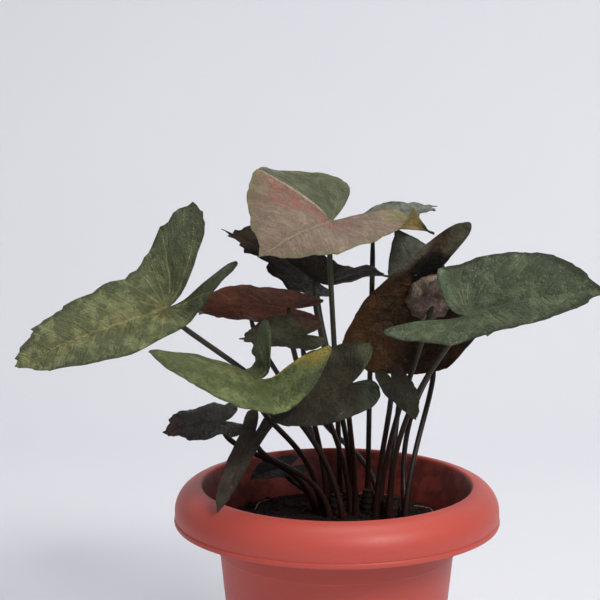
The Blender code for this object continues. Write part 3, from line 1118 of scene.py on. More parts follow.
@dataclass
class Soil:
    """The soil with its uneven top, its crumbs and the dry straws on it."""

    pot: Pot
    mound: float = 3.0
    lump: float = 0.9
    gap: float = 0.3
    rings: int = 30
    steps: int = 120
    crumbs: int = 1500
    seed: int = 11
    straw_steps: int = 14
    straw_radius: float = 0.42
    straws: tuple[tuple[Point, Point, float], ...] = (
        ((23, -17), (30, -50), 3.0),
        ((12, -50), (20, -74), 1.5),
        ((36, -58), (49, -66), 2.0),
        ((38, -46), (62, -62), 7.0),
        ((58, -54), (64, -57), 1.0),
        ((-20, -40), (-4, -58), 2.5),
        ((52, -30), (66, -36), 3.0),
        ((-46, -34), (-30, -52), 2.0),
        ((10, 58), (34, 62), 4.0),
        ((-52, 22), (-44, 46), 2.0),
        ((50, 34), (62, 16), 3.0),
    )

    @property
    def level(self) -> float:
        """Height of the soil's top."""
        return self.pot.height - self.pot.soil_below_lip

    def height(self, x: float, y: float) -> float:
        """Find the height of the soil's top.

        Args:
            x: Place across.
            y: Place in depth.

        Returns:
            The height.
        """
        turn = math.atan2(y, x)
        share = math.hypot(x, y) / self.pot.inner_radius(self.pot.soil_below_lip)
        lumps = self.lump * (math.sin(3 * turn + 7 * share) + 0.7 * math.sin(5 * turn - 4 * share))
        rough = 0.9 * swell(x * 0.13, y * 0.13, 3.0) + 0.5 * swell(x * 0.4, y * 0.4, 8.0)
        smoothed = self.level - self.mound * share * share + 3 * lumps * share * (1 - share)
        return smoothed + rough * min(1.0, 6 * (1.02 - share))

    def build_body(self, finish: Material) -> Piece:
        """Make the soil itself.

        Args:
            finish: Its material.

        Returns:
            The piece.
        """
        pot = self.pot
        edge = pot.inner_radius(pot.soil_below_lip + self.mound) - self.gap
        profile = [(edge * ring / self.rings, self.level) for ring in range(self.rings)] + [
            (edge, self.level - self.mound),
            (pot.inner_radius(90.0) - 2 * self.gap, pot.height - 90.0),
            (pot.inner_radius(pot.height - 3 * pot.wall) - 2 * self.gap, 3 * pot.wall),
            (pot.base_radius - 3.4 * pot.wall, pot.wall + self.gap),
            (0.0, pot.wall + self.gap),
        ]
        shape = spun(profile, self.steps)
        for corner in shape.verts:
            if corner.co.z > (self.level - 0.5) * MM:
                corner.co.z = self.height(corner.co.x / MM, corner.co.y / MM) * MM
        return publish(mesh_from(shape, "soil_body", 40.0), "soil_body", [finish], ["soil"])

    def build_crumbs(self, finish: Material) -> Piece:
        """Scatter the loose crumbs over the top.

        Args:
            finish: Their material.

        Returns:
            The piece.
        """
        chance = random.Random(self.seed)
        shape = bmesh.new()
        edge = self.pot.inner_radius(self.pot.soil_below_lip) - 3.0
        for _ in range(self.crumbs):
            radius = edge * math.sqrt(chance.random())
            turn = chance.uniform(0, math.tau)
            size = 0.5 + 1.5 * chance.random() ** 3
            x, y = radius * math.cos(turn), radius * math.sin(turn)
            made = bmesh.ops.create_icosphere(shape, subdivisions=1, radius=size * MM)
            flat = Matrix.Diagonal((chance.uniform(0.7, 1.3), chance.uniform(0.7, 1.3),
                                    chance.uniform(0.5, 0.9), 1.0))
            spin = Matrix.Rotation(chance.uniform(0, math.tau), 4, "Z") @ Matrix.Rotation(
                chance.uniform(-0.6, 0.6), 4, "X")
            lift = Matrix.Translation(Vector((x, y, self.height(x, y) + 0.25 * size)) * MM)
            bmesh.ops.transform(shape, matrix=lift @ spin @ flat, verts=made["verts"])
        return publish(mesh_from(shape, "soil_crumbs", 30.0), "soil_crumbs", [finish])

    def build_straws(self, finish: Material) -> Piece:
        """Lay the dry straws on the soil.

        Args:
            finish: Their material.

        Returns:
            The piece.
        """
        chance = random.Random(self.seed + 1)
        runs = []
        for start, end, bow in self.straws:
            side = Vector((start[1] - end[1], end[0] - start[0], 0)).normalized()
            run = []
            for step in range(self.straw_steps + 1):
                share = step / self.straw_steps
                arch = math.sin(math.pi * share)
                flat = Vector((*start, 0)).lerp(Vector((*end, 0)), share) + side * bow * arch
                rise = 0.8 + 1.2 * arch + 0.3 * chance.random()
                place = Vector((flat.x, flat.y, self.height(flat.x, flat.y) + rise))
                run.append((place, self.straw_radius * (1 - 0.5 * share)))
            runs.append(run)
        return publish(tubes("dry_straws", runs, 2), "dry_straws", [finish])

    def build(self) -> None:
        """Make the soil, the crumbs and the straws."""
        ground = GroundFinish((0.007, 0.0020, 0.0015), (0.016, 0.006, 0.004))
        crumb = GroundFinish((0.008, 0.0022, 0.0018), (0.024, 0.009, 0.006), 120.0, 0.5, 0.0008)
        straw = GroundFinish((0.22, 0.13, 0.085), (0.42, 0.28, 0.20), 300.0, 0.5, 0.0002)
        self.build_body(ground.material("soil_ground"))
        self.build_crumbs(crumb.material("soil_crumb"))
        self.build_straws(straw.material("dry_straw"))


@dataclass
class Crown:
    """A short upright stem with the rings that old leaves leave."""

    name: str
    x: float
    y: float
    level: float
    radius: float = 5.0
    height: float = 13.0
    rooted: float = 14.0
    ring_steps: int = 24
    ring: float = 0.28

    def build(self, finish: Material) -> Piece:
        """Make the stem.

        Args:
            finish: Its material.

        Returns:
            The piece.
        """
        profile: list[Point] = [(0.0, -self.rooted), (self.radius * 0.9, -self.rooted)]
        for step in range(self.ring_steps + 1):
            rise = step / self.ring_steps
            taper = 1.0 - 0.22 * smooth(rise, 0.45, 0.95)
            radius = self.radius * 0.94 * taper + self.ring * math.sin(rise * 26.0)
            profile.append((radius, self.height * (rise * 1.2 - 0.25)))
        profile += [(self.radius * 0.45, self.height), (0.0, self.height * 0.93)]
        shape = spun(profile, 28)
        for corner in shape.verts:
            dent = 1 + 0.07 * swell(corner.co.x * 260, corner.co.y * 260, corner.co.z * 90 + self.x)
            corner.co.x *= dent
            corner.co.y *= dent
        bmesh.ops.translate(shape, verts=shape.verts, vec=Vector((self.x, self.y, self.level)) * MM)
        return publish(mesh_from(shape, self.name, 50.0), "stem_" + self.name, [finish],
                       [self.name])


# The leaves


@dataclass(frozen=True)
class LeafForm:
    """Where one leaf stands, and how its blade is cut, folded and bent.

    Pairs are (left, right), seen from above with the tip ahead. Widths, lobes and
    spreads are fractions of the length of the midrib. Angles are in degrees.
    """

    name: str
    foot: Point
    top: Place
    tip: Place
    roll: float = 0.0
    fold: Pair = (10.0, 10.0)
    width: Pair = (0.39, 0.39)
    lobe: Pair = (0.55, 0.55)
    spread: Pair = (0.27, 0.27)
    shoulder: Pair = (0.16, 0.16)
    hip: Pair = (1.0, 1.0)
    lift: Pair = (14.0, 14.0)
    droop: float = 25.0
    curl: Pair = (-25.0, -25.0)
    blunt: float = 0.3
    cup: Pair = (0.0, 0.0)
    wave: float = 0.015
    bow: Pair = (0.0, 0.0)
    rise: float = 0.45
    arrive: Place = (0.0, 0.0, -1.0)
    ragged: float = 0.02           # how uneven the cut edge is
    crumple: float = 1.0           # strength of the small waves
    relief: float = 0.010          # height of the puffs between the veins
    ridge: Optional[float] = None  # bearing in radians of a raised crease
    turned: bool = False           # the leaf hangs with its lower face up
    tuck: float = 0.0              # length of the left back lobe's end that is folded down


# The blade's thickness in millimetres, then shares of the midrib, in radians where an angle
BLADE_THICKNESS = 0.45
POINT_LENGTH = 0.12
POINT_POWER = 0.4
SINUS = -0.035
LOBE_HINGE = 0.2
RIPPLES = 5.0
CALM_REACH = 0.4
TUCK_ANGLE = 0.8
GROOVE_WIDTH = 0.022
CREASE_RISE = 0.022
CREASE_WIDTH = 0.026
BROAD_WAVE = 0.020
FINE_WAVE = 0.0065

LEAF_FORMS = (
    LeafForm("left_large", (4, 2), (-105, -15, 270), (-189, -60, 242), roll=-44,
             fold=(20, 16), width=(0.30, 0.26), lobe=(0.68, 0.62), spread=(0.22, 0.34),
             shoulder=(0.36, 0.16), hip=(0.45, 1.6), lift=(66, 60), cup=(10, 0), droop=20,
             blunt=0.8, arrive=(0.7, 0.1, -0.7), ragged=0.06, crumple=1.3),
    LeafForm("top_pink", (2, 24.5), (-4, -8, 323), (-45, -75, 310), roll=-39,
             fold=(14, 8), width=(0.33, 0.64), lobe=(0.8, 0.62), spread=(0.3, 0.25),
             lift=(12, 8), droop=25, blunt=0.5, crumple=1.3, ridge=-1.12, tuck=0.24),
    LeafForm("top_grey", (20, 35.5), (22, 49, 312), (66, 85, 321), roll=6,
             width=(0.34, 0.34), lobe=(0.35, 0.35), ragged=0.07, crumple=2.0),
    LeafForm("hanging_brown", (27, 17), (60, 24, 285), (1, 12, 229), roll=88, fold=(5, 5),
             width=(0.25, 0.62), lobe=(0.47, 0.3), spread=(0.13, 0.2), shoulder=(0.16, 0.35),
             lift=(4, -60), curl=(-110, -40), blunt=0.6, crumple=1.8, turned=True),
    LeafForm("right_large", (33, -1.5), (79, -20, 268), (156, -50, 287), roll=42,
             fold=(15, 15), width=(0.44, 0.30), lobe=(0.30, 0.6), spread=(0.34, 0.24),
             shoulder=(0.16, 0.32), lift=(62, 38), droop=25, blunt=0.6, bow=(-8, 0),
             arrive=(-0.6, 0.1, -0.8)),
    LeafForm("front_light", (-9, 8.5), (-48, -55, 236), (-108, -80, 256), roll=-14,
             fold=(-20, -8), width=(0.46, 0.26), lobe=(0.7, 0.56), spread=(0.38, 0.24),
             lift=(83, 104), cup=(0, 38), droop=14, blunt=1.0, curl=(10, -25)),
    LeafForm("red_left", (-6, 24), (-30, 8, 267), (-91, 5, 268), roll=40,
             fold=(0, 0), lobe=(0.34, 0.34), spread=(0.24, 0.24), blunt=0.6, crumple=1.6,
             ragged=0.03, turned=True),
    LeafForm("dark_upper", (11, 31), (-14, 30, 281), (-74, 8, 316), roll=30,
             lobe=(0.6, 0.3), spread=(0.3, 0.27), lift=(42, 30), blunt=0.1, ragged=0.11,
             crumple=2.6),
    LeafForm("grey_inner", (9, 20), (-21, -12, 254), (-60, -22, 252), roll=-32,
             lobe=(0.35, 0.35), spread=(0.22, 0.22), crumple=2.2, relief=0.016, ragged=0.05),
    LeafForm("front_dark", (12, 8), (7, -40, 229), (-39.5, -68, 212), roll=-50,
             fold=(6, 6), width=(0.34, 0.50), lobe=(0.28, 0.45), spread=(0.22, 0.26),
             lift=(65, 30), curl=(-30, -25), blunt=0.6, crumple=1.3),
    LeafForm("front_small", (24.5, 4), (34, -12, 226), (48, -26, 203), roll=8,
             width=(0.36, 0.42), lobe=(0.3, 0.3), blunt=0.5, ragged=0.04, crumple=1.8),
    LeafForm("slate_left", (-13.5, 16), (-70, -14, 200), (-105, -30, 197), roll=-35,
             width=(0.36, 0.36), lobe=(0.35, 0.35), wave=0.05, blunt=0.8, ragged=0.06,
             crumple=2.6),
    LeafForm("over_rim", (-4.5, 4), (-50, -32, 196), (-70, -67, 157), width=(0.15, 0.15),
             spread=(0.14, 0.14), lobe=(0.3, 0.3), droop=12, blunt=0.4, crumple=2.0,
             ragged=0.04),
    LeafForm("inside_pot", (-13, 25), (-33, 20, 162), (-55, 5, 158), roll=-20),
    LeafForm("grey_back", (33.5, 20), (56, 52, 262), (36, 48, 313), roll=-80, lobe=(0.4, 0.4)),
    LeafForm("young_brown", (43, 1), (61, 37, 229), (81, 37, 235),
             width=(0.2, 0.2), lobe=(0.2, 0.2), spread=(0.12, 0.12)),
    LeafForm("back_left", (-3, 33), (-58, 86, 255), (-98, 158, 236)),
    LeafForm("back_right", (44, 14), (86, 90, 240), (106, 158, 222),
             bow=(-14, 8), arrive=(-0.7, -0.4, -0.6)),
    LeafForm("back_low", (28, 33), (-12, 92, 186), (-18, 152, 167), lobe=(0.3, 0.3)),
    LeafForm("back_high", (10, 41), (-14, 80, 276), (-24, 152, 266),
             width=(0.33, 0.33), lobe=(0.4, 0.4)),
)

OLIVE = LeafFinish((0.135, 0.150, 0.062), (0.088, 0.104, 0.042), (0.25, 0.235, 0.11),
                   (0.05, 0.05, 0.03), (0.060, 0.045, 0.026), (0.12, 0.09, 0.05))
LEAF_FINISHES: dict[str, LeafFinish] = {
    "left_large": LeafFinish(
        (0.190, 0.215, 0.098), (0.118, 0.142, 0.066), (0.34, 0.30, 0.12), (0.045, 0.050, 0.028),
        (0.08, 0.055, 0.035), (0.16, 0.12, 0.06), vein_strength=0.26, basal_strength=0.65,
        specks=0.35, patches=0.7, glow=0.35,
        # the first flush is painted shade on the right back lobe, which stands towards the back
        flushes=(Flush((0.075, 0.092, 0.052), -2.7, 0.7, 0.2, 0.6),
                 Flush((0.045, 0.062, 0.032), 2.6, 0.6, 0.2, 0.65),
                 Flush((0.10, 0.075, 0.05), -2.72, 0.2, 0.78, 0.8))),
    "top_pink": LeafFinish(
        (0.285, 0.212, 0.155), (0.112, 0.130, 0.058), (0.50, 0.41, 0.29), (0.17, 0.16, 0.07),
        (0.17, 0.105, 0.024), (0.24, 0.15, 0.05), vein_strength=0.14, basal_strength=0.16,
        streaks=0.7, streak=(0.215, 0.128, 0.092), specks=0.25, split=-1.12,
        blush=(0.34, 0.115, 0.092),
        flushes=(Flush((0.16, 0.155, 0.075), -0.78, 0.28, 0.68, 0.6),
                 Flush((0.19, 0.18, 0.055), 2.9, 0.30, 0.45, 0.75),
                 Flush((0.24, 0.22, 0.11), 1.3, 1.0, 0.72, 0.6),
                 Flush((0.13, 0.085, 0.018), 2.84, 0.10, 0.72, 1.0),
                 Flush((0.010, 0.008, 0.006), 2.84, 0.06, 0.92, 1.0))),
    "top_grey": LeafFinish(
        (0.215, 0.230, 0.180), (0.140, 0.155, 0.112), (0.30, 0.30, 0.24), (0.06, 0.055, 0.04),
        (0.11, 0.10, 0.07), (0.18, 0.16, 0.11), patches=0.6),
    "hanging_brown": LeafFinish(
        (0.090, 0.100, 0.072), (0.062, 0.070, 0.050), (0.13, 0.12, 0.09), (0.07, 0.07, 0.055),
        # painted shade round the stalk's top on the lower face
        (0.028, 0.017, 0.007), (0.080, 0.028, 0.009), gloss=0.4, sheen=0.22, painted_shade_reach=0.2,
        flushes=(Flush((0.075, 0.032, 0.010), 0.0, 0.6, 0.45, 0.6),
                 Flush((0.135, 0.133, 0.098), 1.5, 0.9, 0.58, 0.85),
                 Flush((0.075, 0.080, 0.048), 2.9, 0.45, 0.3, 0.8))),
    "right_large": LeafFinish(
        (0.138, 0.172, 0.092), (0.092, 0.122, 0.064), (0.17, 0.18, 0.10), (0.020, 0.027, 0.014),
        (0.055, 0.040, 0.028), (0.10, 0.075, 0.045), vein_strength=0.14, basal_strength=0.34,
        specks=0.7, patches=0.72, glow=0.1,
        flushes=(Flush((0.082, 0.125, 0.085), 2.7, 0.7, 0.25, 0.4),)),
    "front_light": LeafFinish(
        (0.190, 0.230, 0.088), (0.122, 0.155, 0.056), (0.27, 0.27, 0.11), (0.06, 0.07, 0.03),
        (0.07, 0.06, 0.03), (0.13, 0.11, 0.06), vein_strength=0.16, basal_strength=0.22,
        patches=0.6, glow=0.3,
        flushes=(Flush((0.40, 0.31, 0.055), 2.85, 0.42, 0.5, 0.85),
                 # painted shade: darker green over the right back lobe, which rises behind the blade
                 Flush((0.060, 0.080, 0.030), -2.6, 0.9, 0.0, 0.85),
                 Flush((0.25, 0.28, 0.11), 1.5, 0.8, 0.75, 0.5))),
    "red_left": LeafFinish(
        (0.06, 0.05, 0.03), (0.05, 0.04, 0.025), (0.12, 0.08, 0.05), (0.06, 0.03, 0.02),
        (0.235, 0.074, 0.036), (0.26, 0.085, 0.035), gloss=0.38, sheen=0.26,
        # the first flush is painted shade on the back of the left half, towards the stalk
        flushes=(Flush((0.045, 0.018, 0.011), 2.9, 1.3, 0.0, 0.75),
                 Flush((0.05, 0.022, 0.016), -0.5, 0.8, 0.72, 0.7))),
    "dark_upper": LeafFinish(
        (0.052, 0.040, 0.025), (0.036, 0.027, 0.017), (0.08, 0.07, 0.055), (0.03, 0.025, 0.02),
        (0.030, 0.022, 0.015), (0.060, 0.038, 0.026), gloss=0.44, sheen=0.2,
        flushes=(Flush((0.13, 0.085, 0.055), 0.0, 0.3, 0.55, 0.75),)),
    "grey_inner": LeafFinish(
        (0.090, 0.090, 0.050), (0.050, 0.050, 0.028), (0.16, 0.15, 0.09), (0.04, 0.035, 0.02),
        (0.05, 0.035, 0.02), (0.10, 0.07, 0.045), patches=0.75, gloss=0.38, sheen=0.4,
        flushes=(Flush((0.075, 0.026, 0.014), -2.2, 1.3, 0.2, 0.7),)),
    "front_dark": LeafFinish(
        (0.036, 0.034, 0.018), (0.022, 0.018, 0.010), (0.085, 0.055, 0.030), (0.020, 0.015, 0.010),
        (0.035, 0.02, 0.013), (0.06, 0.035, 0.02), vein_strength=0.22, patches=0.6, gloss=0.42,
        flushes=(Flush((0.085, 0.070, 0.032), -1.2, 0.9, 0.55, 0.7),
                 Flush((0.080, 0.095, 0.045), -2.7, 0.5, 0.5, 0.7),
                 Flush((0.045, 0.060, 0.034), 2.2, 1.1, 0.35, 0.6))),
    "front_small": LeafFinish(
        (0.028, 0.030, 0.014), (0.020, 0.017, 0.010), (0.075, 0.06, 0.035), (0.03, 0.02, 0.012),
        (0.035, 0.02, 0.013), (0.06, 0.035, 0.02), patches=0.6,
        flushes=(Flush((0.048, 0.020, 0.013), 2.0, 1.1, 0.2, 0.7),)),
    "slate_left": LeafFinish(
        (0.072, 0.069, 0.058), (0.046, 0.043, 0.036), (0.08, 0.07, 0.06), (0.03, 0.022, 0.018),
        (0.03, 0.02, 0.015), (0.06, 0.04, 0.03), gloss=0.32, sheen=0.7,
        flushes=(Flush((0.10, 0.040, 0.030), 0.0, 0.4, 0.6, 0.7),)),
    "over_rim": LeafFinish(
        (0.080, 0.062, 0.042), (0.046, 0.034, 0.023), (0.12, 0.085, 0.055), (0.035, 0.025, 0.016),
        (0.05, 0.035, 0.022), (0.08, 0.055, 0.035), patches=0.6),
    "inside_pot": LeafFinish(
        (0.018, 0.009, 0.006), (0.012, 0.006, 0.004), (0.03, 0.016, 0.011), (0.016, 0.009, 0.006),
        (0.016, 0.009, 0.006), (0.03, 0.016, 0.011)),
    "grey_back": LeafFinish(
        (0.170, 0.182, 0.135), (0.125, 0.138, 0.100), (0.20, 0.20, 0.15), (0.03, 0.03, 0.02),
        (0.200, 0.215, 0.160), (0.14, 0.13, 0.09)),
    "young_brown": LeafFinish(
        (0.085, 0.048, 0.030), (0.055, 0.030, 0.020), (0.12, 0.07, 0.045), (0.035, 0.02, 0.012),
        (0.055, 0.030, 0.018), (0.08, 0.045, 0.03)),
}


def soft_end(name: str, steps: int, spot: Callable[[float, float], Spot],
             finish: Material) -> Piece:
    """Make a soft end of a blade, which no solid stands for.

    Args:
        name: Name of the piece.
        steps: Steps of its sheet each way.
        spot: Places the points of its sheet.
        finish: Its material.

    Returns:
        The piece.
    """
    shape = mapped(steps, steps, spot)
    bmesh.ops.recalc_face_normals(shape, faces=shape.faces)
    return publish(thickened(shape, "sheet_" + name, BLADE_THICKNESS), name, [finish])


@dataclass(frozen=True)
class CurledLobe:
    """The crumpled back lobe of the hanging leaf, which curls over towards the front."""

    middle: Place = (58.5, 24.0, 271.5)
    width: float = 31.0
    height: float = 30.0
    bulge: float = 13.0
    lip: float = 6.0
    steps: int = 40
    # its light pinkish colours, with the pale spots, are partly the lobe's own colour and partly painted
    # highlight on its glossy folds
    finish: LeafFinish = LeafFinish(
        (0.09, 0.08, 0.06), (0.06, 0.05, 0.04), (0.3, 0.2, 0.15), (0.1, 0.08, 0.06),
        (0.210, 0.148, 0.108), (0.38, 0.28, 0.21), gloss=0.3, sheen=0.5)

    def spot(self, u: float, v: float) -> Spot:
        """Place one point of the crumpled sheet.

        Args:
            u: Place across the sheet, from 0 to 1.
            v: Place up the sheet, from 0 to 1.

        Returns:
            The point in metres and its places on the two maps.
        """
        u, v = 2 * u - 1, 2 * v - 1
        across, up = u * math.sqrt(1 - v * v / 2), v * math.sqrt(1 - u * u / 2)
        out = math.hypot(across, up)
        uneven = 1 + 0.12 * swell(across * 3, up * 3, 4.0) * out
        folds = 1.7 * math.sin(7 * across + 2.5 * up + 3 * swell(across * 2, up * 2, 9.0))
        folds += 3.0 * swell(across * 3.0, up * 3.0, 6.0)
        stand = self.bulge * max(1 - out * out, 0.0) ** 0.55
        stand += self.lip * smooth(up, 0.15, 0.95) + folds * (1 - 0.7 * out ** 4)
        place = Vector(self.middle) + Vector((across * uneven * self.width / 2 + 2.0 * up, -stand,
                                              up * uneven * self.height / 2))
        return place * MM, (0.3 * v + 0.1, 0.3 * u), (0.5, 0.5)

    def build(self, effects: Effects) -> Piece:
        """Make the lobe with the shared effects."""
        finish = self.finish.lower("curled", effects)
        return soft_end("curled_lobe", self.steps, self.spot, finish)


@dataclass(frozen=True)
class FoldedTip:
    """The dry end of the top leaf's back lobe, folded over and drawn out into a thread."""

    low: Place = (38.0, 12.0, 315.5)
    middle: Place = (43.5, 27.0, 318.7)
    high: Place = (47.0, 34.0, 326.3)
    end: Place = (60.0, 26.0, 310.5)
    bulge: float = 1.4
    steps: int = 26
    finish: LeafFinish = LeafFinish(
        (0.20, 0.15, 0.05), (0.12, 0.09, 0.03), (0.28, 0.22, 0.10), (0.05, 0.04, 0.02),
        (0.190, 0.140, 0.036), (0.25, 0.16, 0.05), gloss=0.45,
        flushes=(Flush((0.012, 0.010, 0.007), 0.0, 4.0, 0.45, 1.0),))

    def spot(self, side: float, out: float) -> Spot:
        """Place one point of the folded sheet.

        Args:
            side: Place along the fold, from 0 to 1.
            out: Place from the fold to the thread's end, from 0 to 1.

        Returns:
            The point in metres and its places on the two maps.
        """
        low, middle, high = Vector(self.low), Vector(self.middle), Vector(self.high)
        centre = low * 0.25 + middle * 0.5 + high * 0.25
        hem = low * (1 - side) ** 2 + middle * 2 * side * (1 - side) + high * side ** 2
        narrow = max(1 - 1.25 * out, 0.0) ** 1.2 + 0.03
        uneven = swell(side * 2.5, out * 3.5, 5.0)
        place = centre.lerp(Vector(self.end), out) + (hem - centre) * narrow * (1 + 0.25 * uneven * out)
        place.y -= self.bulge * math.sin(math.pi * out) * (1 + 1.5 * uneven)
        place.z += 1.2 * uneven * out
        return place * MM, (0.3 + 0.3 * out, 0.3 * (side - 0.5)), (out, 0.5)

    def build(self, effects: Effects) -> Piece:
        """Make the folded end with the shared effects."""
        finish = self.finish.lower("folded", effects)
        return soft_end("folded_tip", self.steps, self.spot, finish)


@dataclass
class Leaf:
    """One arrowhead leaf: its blade, the ribs under it and its stalk."""

    form: LeafForm
    finish: LeafFinish
    ceiling: tuple[Vector, Vector]
    soil_level: float = 134.0
    thickness: float = BLADE_THICKNESS
    solid_thickness: float = 0.8
    gap: float = 0.3
    front_steps: int = 26
    lobe_steps: int = 18
    inner_steps: int = 11
    row_length: float = 3.4
    rows_at_least: int = 12
    rows_at_most: int = 32
    side_veins: int = 6
    rib_steps: int = 12
    ribs_fit: float = 95.0          # length of the midrib that the ribs' radii are meant for
    midrib: Pair = (0.85, 0.22)     # radius at a rib's root and at its end, as the next two
    lobe_rib: Pair = (0.6, 0.16)
    side_rib: Pair = (0.26, 0.08)
    rib_reach: float = 0.93
    stalk_steps: int = 36
    stalk_radius: float = 1.7
    foot_radius: float = 2.6
    top_radius: float = 1.0
    sheath_height: float = 22.0
    stalk_lean: float = 0.12
    rooted: float = 6.0
    edge: list[Point] = field(default_factory=list)

    def __post_init__(self) -> None:
        """Draw the flat edge once."""
        right = [(along, -across) for along, across in reversed(self.half_edge(1))]
        self.edge = [(1.0, 0.0)] + self.half_edge(0) + [(SINUS, 0.0)] + right

    @property
    def seed(self) -> float:
        """A number of the leaf's own, for its small irregularities."""
        return self.form.foot[0] + self.form.foot[1]

    @property
    def length(self) -> float:
        """Length of the straight line from the stalk to the tip."""
        return (Vector(self.form.tip) - Vector(self.form.top)).length

    def half_edge(self, side: int) -> list[Point]:
        """Draw the flat edge of one half.

        Args:
            side: 0 for the left half, 1 for the right.

        Returns:
            Points from beside the tip to beside the sinus.
        """
        form = self.form
        width, lobe, spread, hip = form.width[side], form.lobe[side], form.spread[side], form.hip[side]
        lobe += form.tuck if side == 0 else 0.0
        drawn = (0.86 + 0.08 * form.blunt, 0.01 + 0.2 * form.blunt)
        shoulder, corner = (form.shoulder[side], width), (-lobe, spread)
        front = ((1.0, 0.0), drawn, (0.60, width), shoulder)
        outer = (shoulder, (-0.14, width * hip), (0.10 - lobe, spread + 0.12 * hip), corner)
        inner = (corner, (-lobe - 0.02, spread - 0.10), (-0.20, 0.03), (SINUS, 0.0))
        points = []
        for step in range(1, self.front_steps + 1):
            along, across = bezier(front, step / self.front_steps)
            pointed = min((1.0 - along) / POINT_LENGTH, 1.0) ** POINT_POWER
            points.append((along, across * pointed))
        points += [bezier(outer, step / self.lobe_steps) for step in range(1, self.lobe_steps + 1)]
        points += [bezier(inner, step / (self.inner_steps + 1)) for step in range(1, self.inner_steps + 1)]
        return points

    def quilt(self, along: float, across: float, reach: float) -> float:
        """Find how far the blade puffs up between its veins.

        Args:
            along: Place along the midrib.
            across: Place across it.
            reach: Share of the way from the stalk to the edge.

        Returns:
            The rise, as a fraction of the midrib.
        """
        side = abs(across)
        run = along - VEIN_LEAN * side - VEIN_BOW * side * side
        far = math.hypot(along, across)
        phase = run / VEIN_SPACING
        if run <= VEIN_SPACING / 2:
            turn = math.atan2(side, along) + VEIN_SWING * far - FIRST_BASAL_VEIN
            phase = turn / BASAL_VEIN_TURN
        puff = 0.5 - 0.5 * math.cos(math.tau * phase)
        groove = math.exp(-(across / GROOVE_WIDTH) ** 2) * smooth(along, -0.02, 0.05) * (1 - 0.6 * along)
        fade = smooth(far, 0.05, 0.3) * (1 - smooth(reach, 0.8, 1.0) * 0.7)
        return self.form.relief * (puff * fade - 1.1 * groove)

    def crease(self, along: float, across: float) -> float:
        """Find the rise of the leaf's own raised crease, where it has one.

        Args:
            along: Place along the midrib.
            across: Place across it.

        Returns:
            The rise, as a fraction of the midrib.
        """
        if self.form.ridge is None:
            return 0.0
        far = math.hypot(along, across)
        turn = math.atan2(across, along) - self.form.ridge
        ahead = smooth(far * math.cos(turn), 0.02, 0.12)
        return CREASE_RISE * ahead * math.exp(-(far * math.sin(turn) / CREASE_WIDTH) ** 2)

    def bent(self, along: float, across: float, reach: float, detail: float = 1.0) -> Vector:
        """Bend a flat point of the blade into its shape.

        Args:
            along: Place along the midrib, as a fraction of it.
            across: Place across it, left positive.
            reach: Share of the way from the stalk to the edge.
            detail: Share of the relief and the small waves that shows.

        Returns:
            The point in the blade's own frame, midrib length 1.
        """
        form = self.form
        side = 0 if across >= 0.0 else 1
        if along >= 0.0:
            forward, height = arc(along, 0.0, -math.radians(form.droop))
            slope = -math.radians(form.droop) * along
        else:
            lift = math.radians(form.lift[side])
            hinged = min(-along, LOBE_HINGE)
            back, height = arc(hinged, 0.0, lift / LOBE_HINGE)
            slope = -lift * hinged / LOBE_HINGE
            folded = max(-along - form.lobe[0] * 0.93, 0.0) if side == 0 and form.tuck > 0.0 else 0.0
            straight = -along - hinged - folded
            forward = -back - straight * math.cos(slope) - folded * math.cos(slope + TUCK_ANGLE)
            height -= straight * math.sin(slope) + folded * math.sin(slope + TUCK_ANGLE)
        standing = min(max(-along, 0.0) / LOBE_HINGE, 1.0)
        fold = math.radians(form.fold[side] + form.cup[side] * standing)
        sideways, raised = arc(abs(across), fold, math.radians(form.curl[side]))
        wide = min(math.hypot(along, across) / CALM_REACH, 1.0) * reach
        raised += form.wave * wide * wide * math.sin(RIPPLES * math.atan2(across, along) + self.seed)
        if detail > 0.0:
            small = BROAD_WAVE * wide ** 3 * swell(along * 6, across * 6, self.seed * 1.7)
            small += FINE_WAVE * wide * swell(along * 15, across * 15, self.seed * 2.3)
            small += self.crease(along, across) / max(form.crumple, 1.0)
            raised += detail * (form.crumple * small + self.quilt(along, across, reach))
        return Vector((
            forward - raised * math.sin(slope),
            sideways if side == 0 else -sideways,
            height + raised * math.cos(slope),
        ))

    def placement(self) -> Matrix:
        """Find how the blade's own frame is placed.

        Returns:
            The matrix from the blade's own frame to its place.
        """
        form = self.form
        tip = self.bent(1.0, 0.0, 1.0, 0.0)
        chord = Vector(form.tip) - Vector(form.top)
        ahead = chord.normalized()
        left = Vector((0, 0, 1)).cross(ahead).normalized()
        facing = Matrix((ahead, left, ahead.cross(left))).transposed().to_4x4()
        roll = Matrix.Rotation(math.radians(form.roll), 4, "X")
        level = Matrix.Rotation(math.atan2(tip.z, tip.x), 4, "Y")
        size = Matrix.Scale(chord.length / tip.length, 4)
        return Matrix.Translation(Vector(form.top)) @ facing @ roll @ level @ size

    def trimmed(self, column: int, reach: float) -> Point:
        """Find a flat point of the blade, with its slightly uneven edge.

        Args:
            column: Which point of the edge the point lies towards.
            reach: Share of the way to it.

        Returns:
            The flat point.
        """
        along, across = self.edge[column % len(self.edge)]
        uneven = swell(along * 9, across * 9, self.seed) - 0.35
        uneven += 0.7 * swell(along * 27, across * 27, self.seed * 3)
        calm = smooth(math.hypot(along, across), 0.1, 0.4)
        share = reach * (1 + self.form.ragged * uneven * reach ** 4 * calm)
        return along * share, across * share

    def kept_in(self, place: Vector) -> Vector:
        """Keep a point inside the plant's own box, in metres."""
        low, high = self.ceiling
        return Vector(min(max(value, least), most) for value, least, most in zip(place, low, high))

    def blade_sheet(self) -> Shape:
        """Make the blade's upper surface, with its two maps.

        Returns:
            The sheet, without thickness.
        """
        columns = len(self.edge)
        rows = min(max(round(self.length / self.row_length), self.rows_at_least), self.rows_at_most)
        place = Matrix.Scale(MM, 4) @ self.placement()

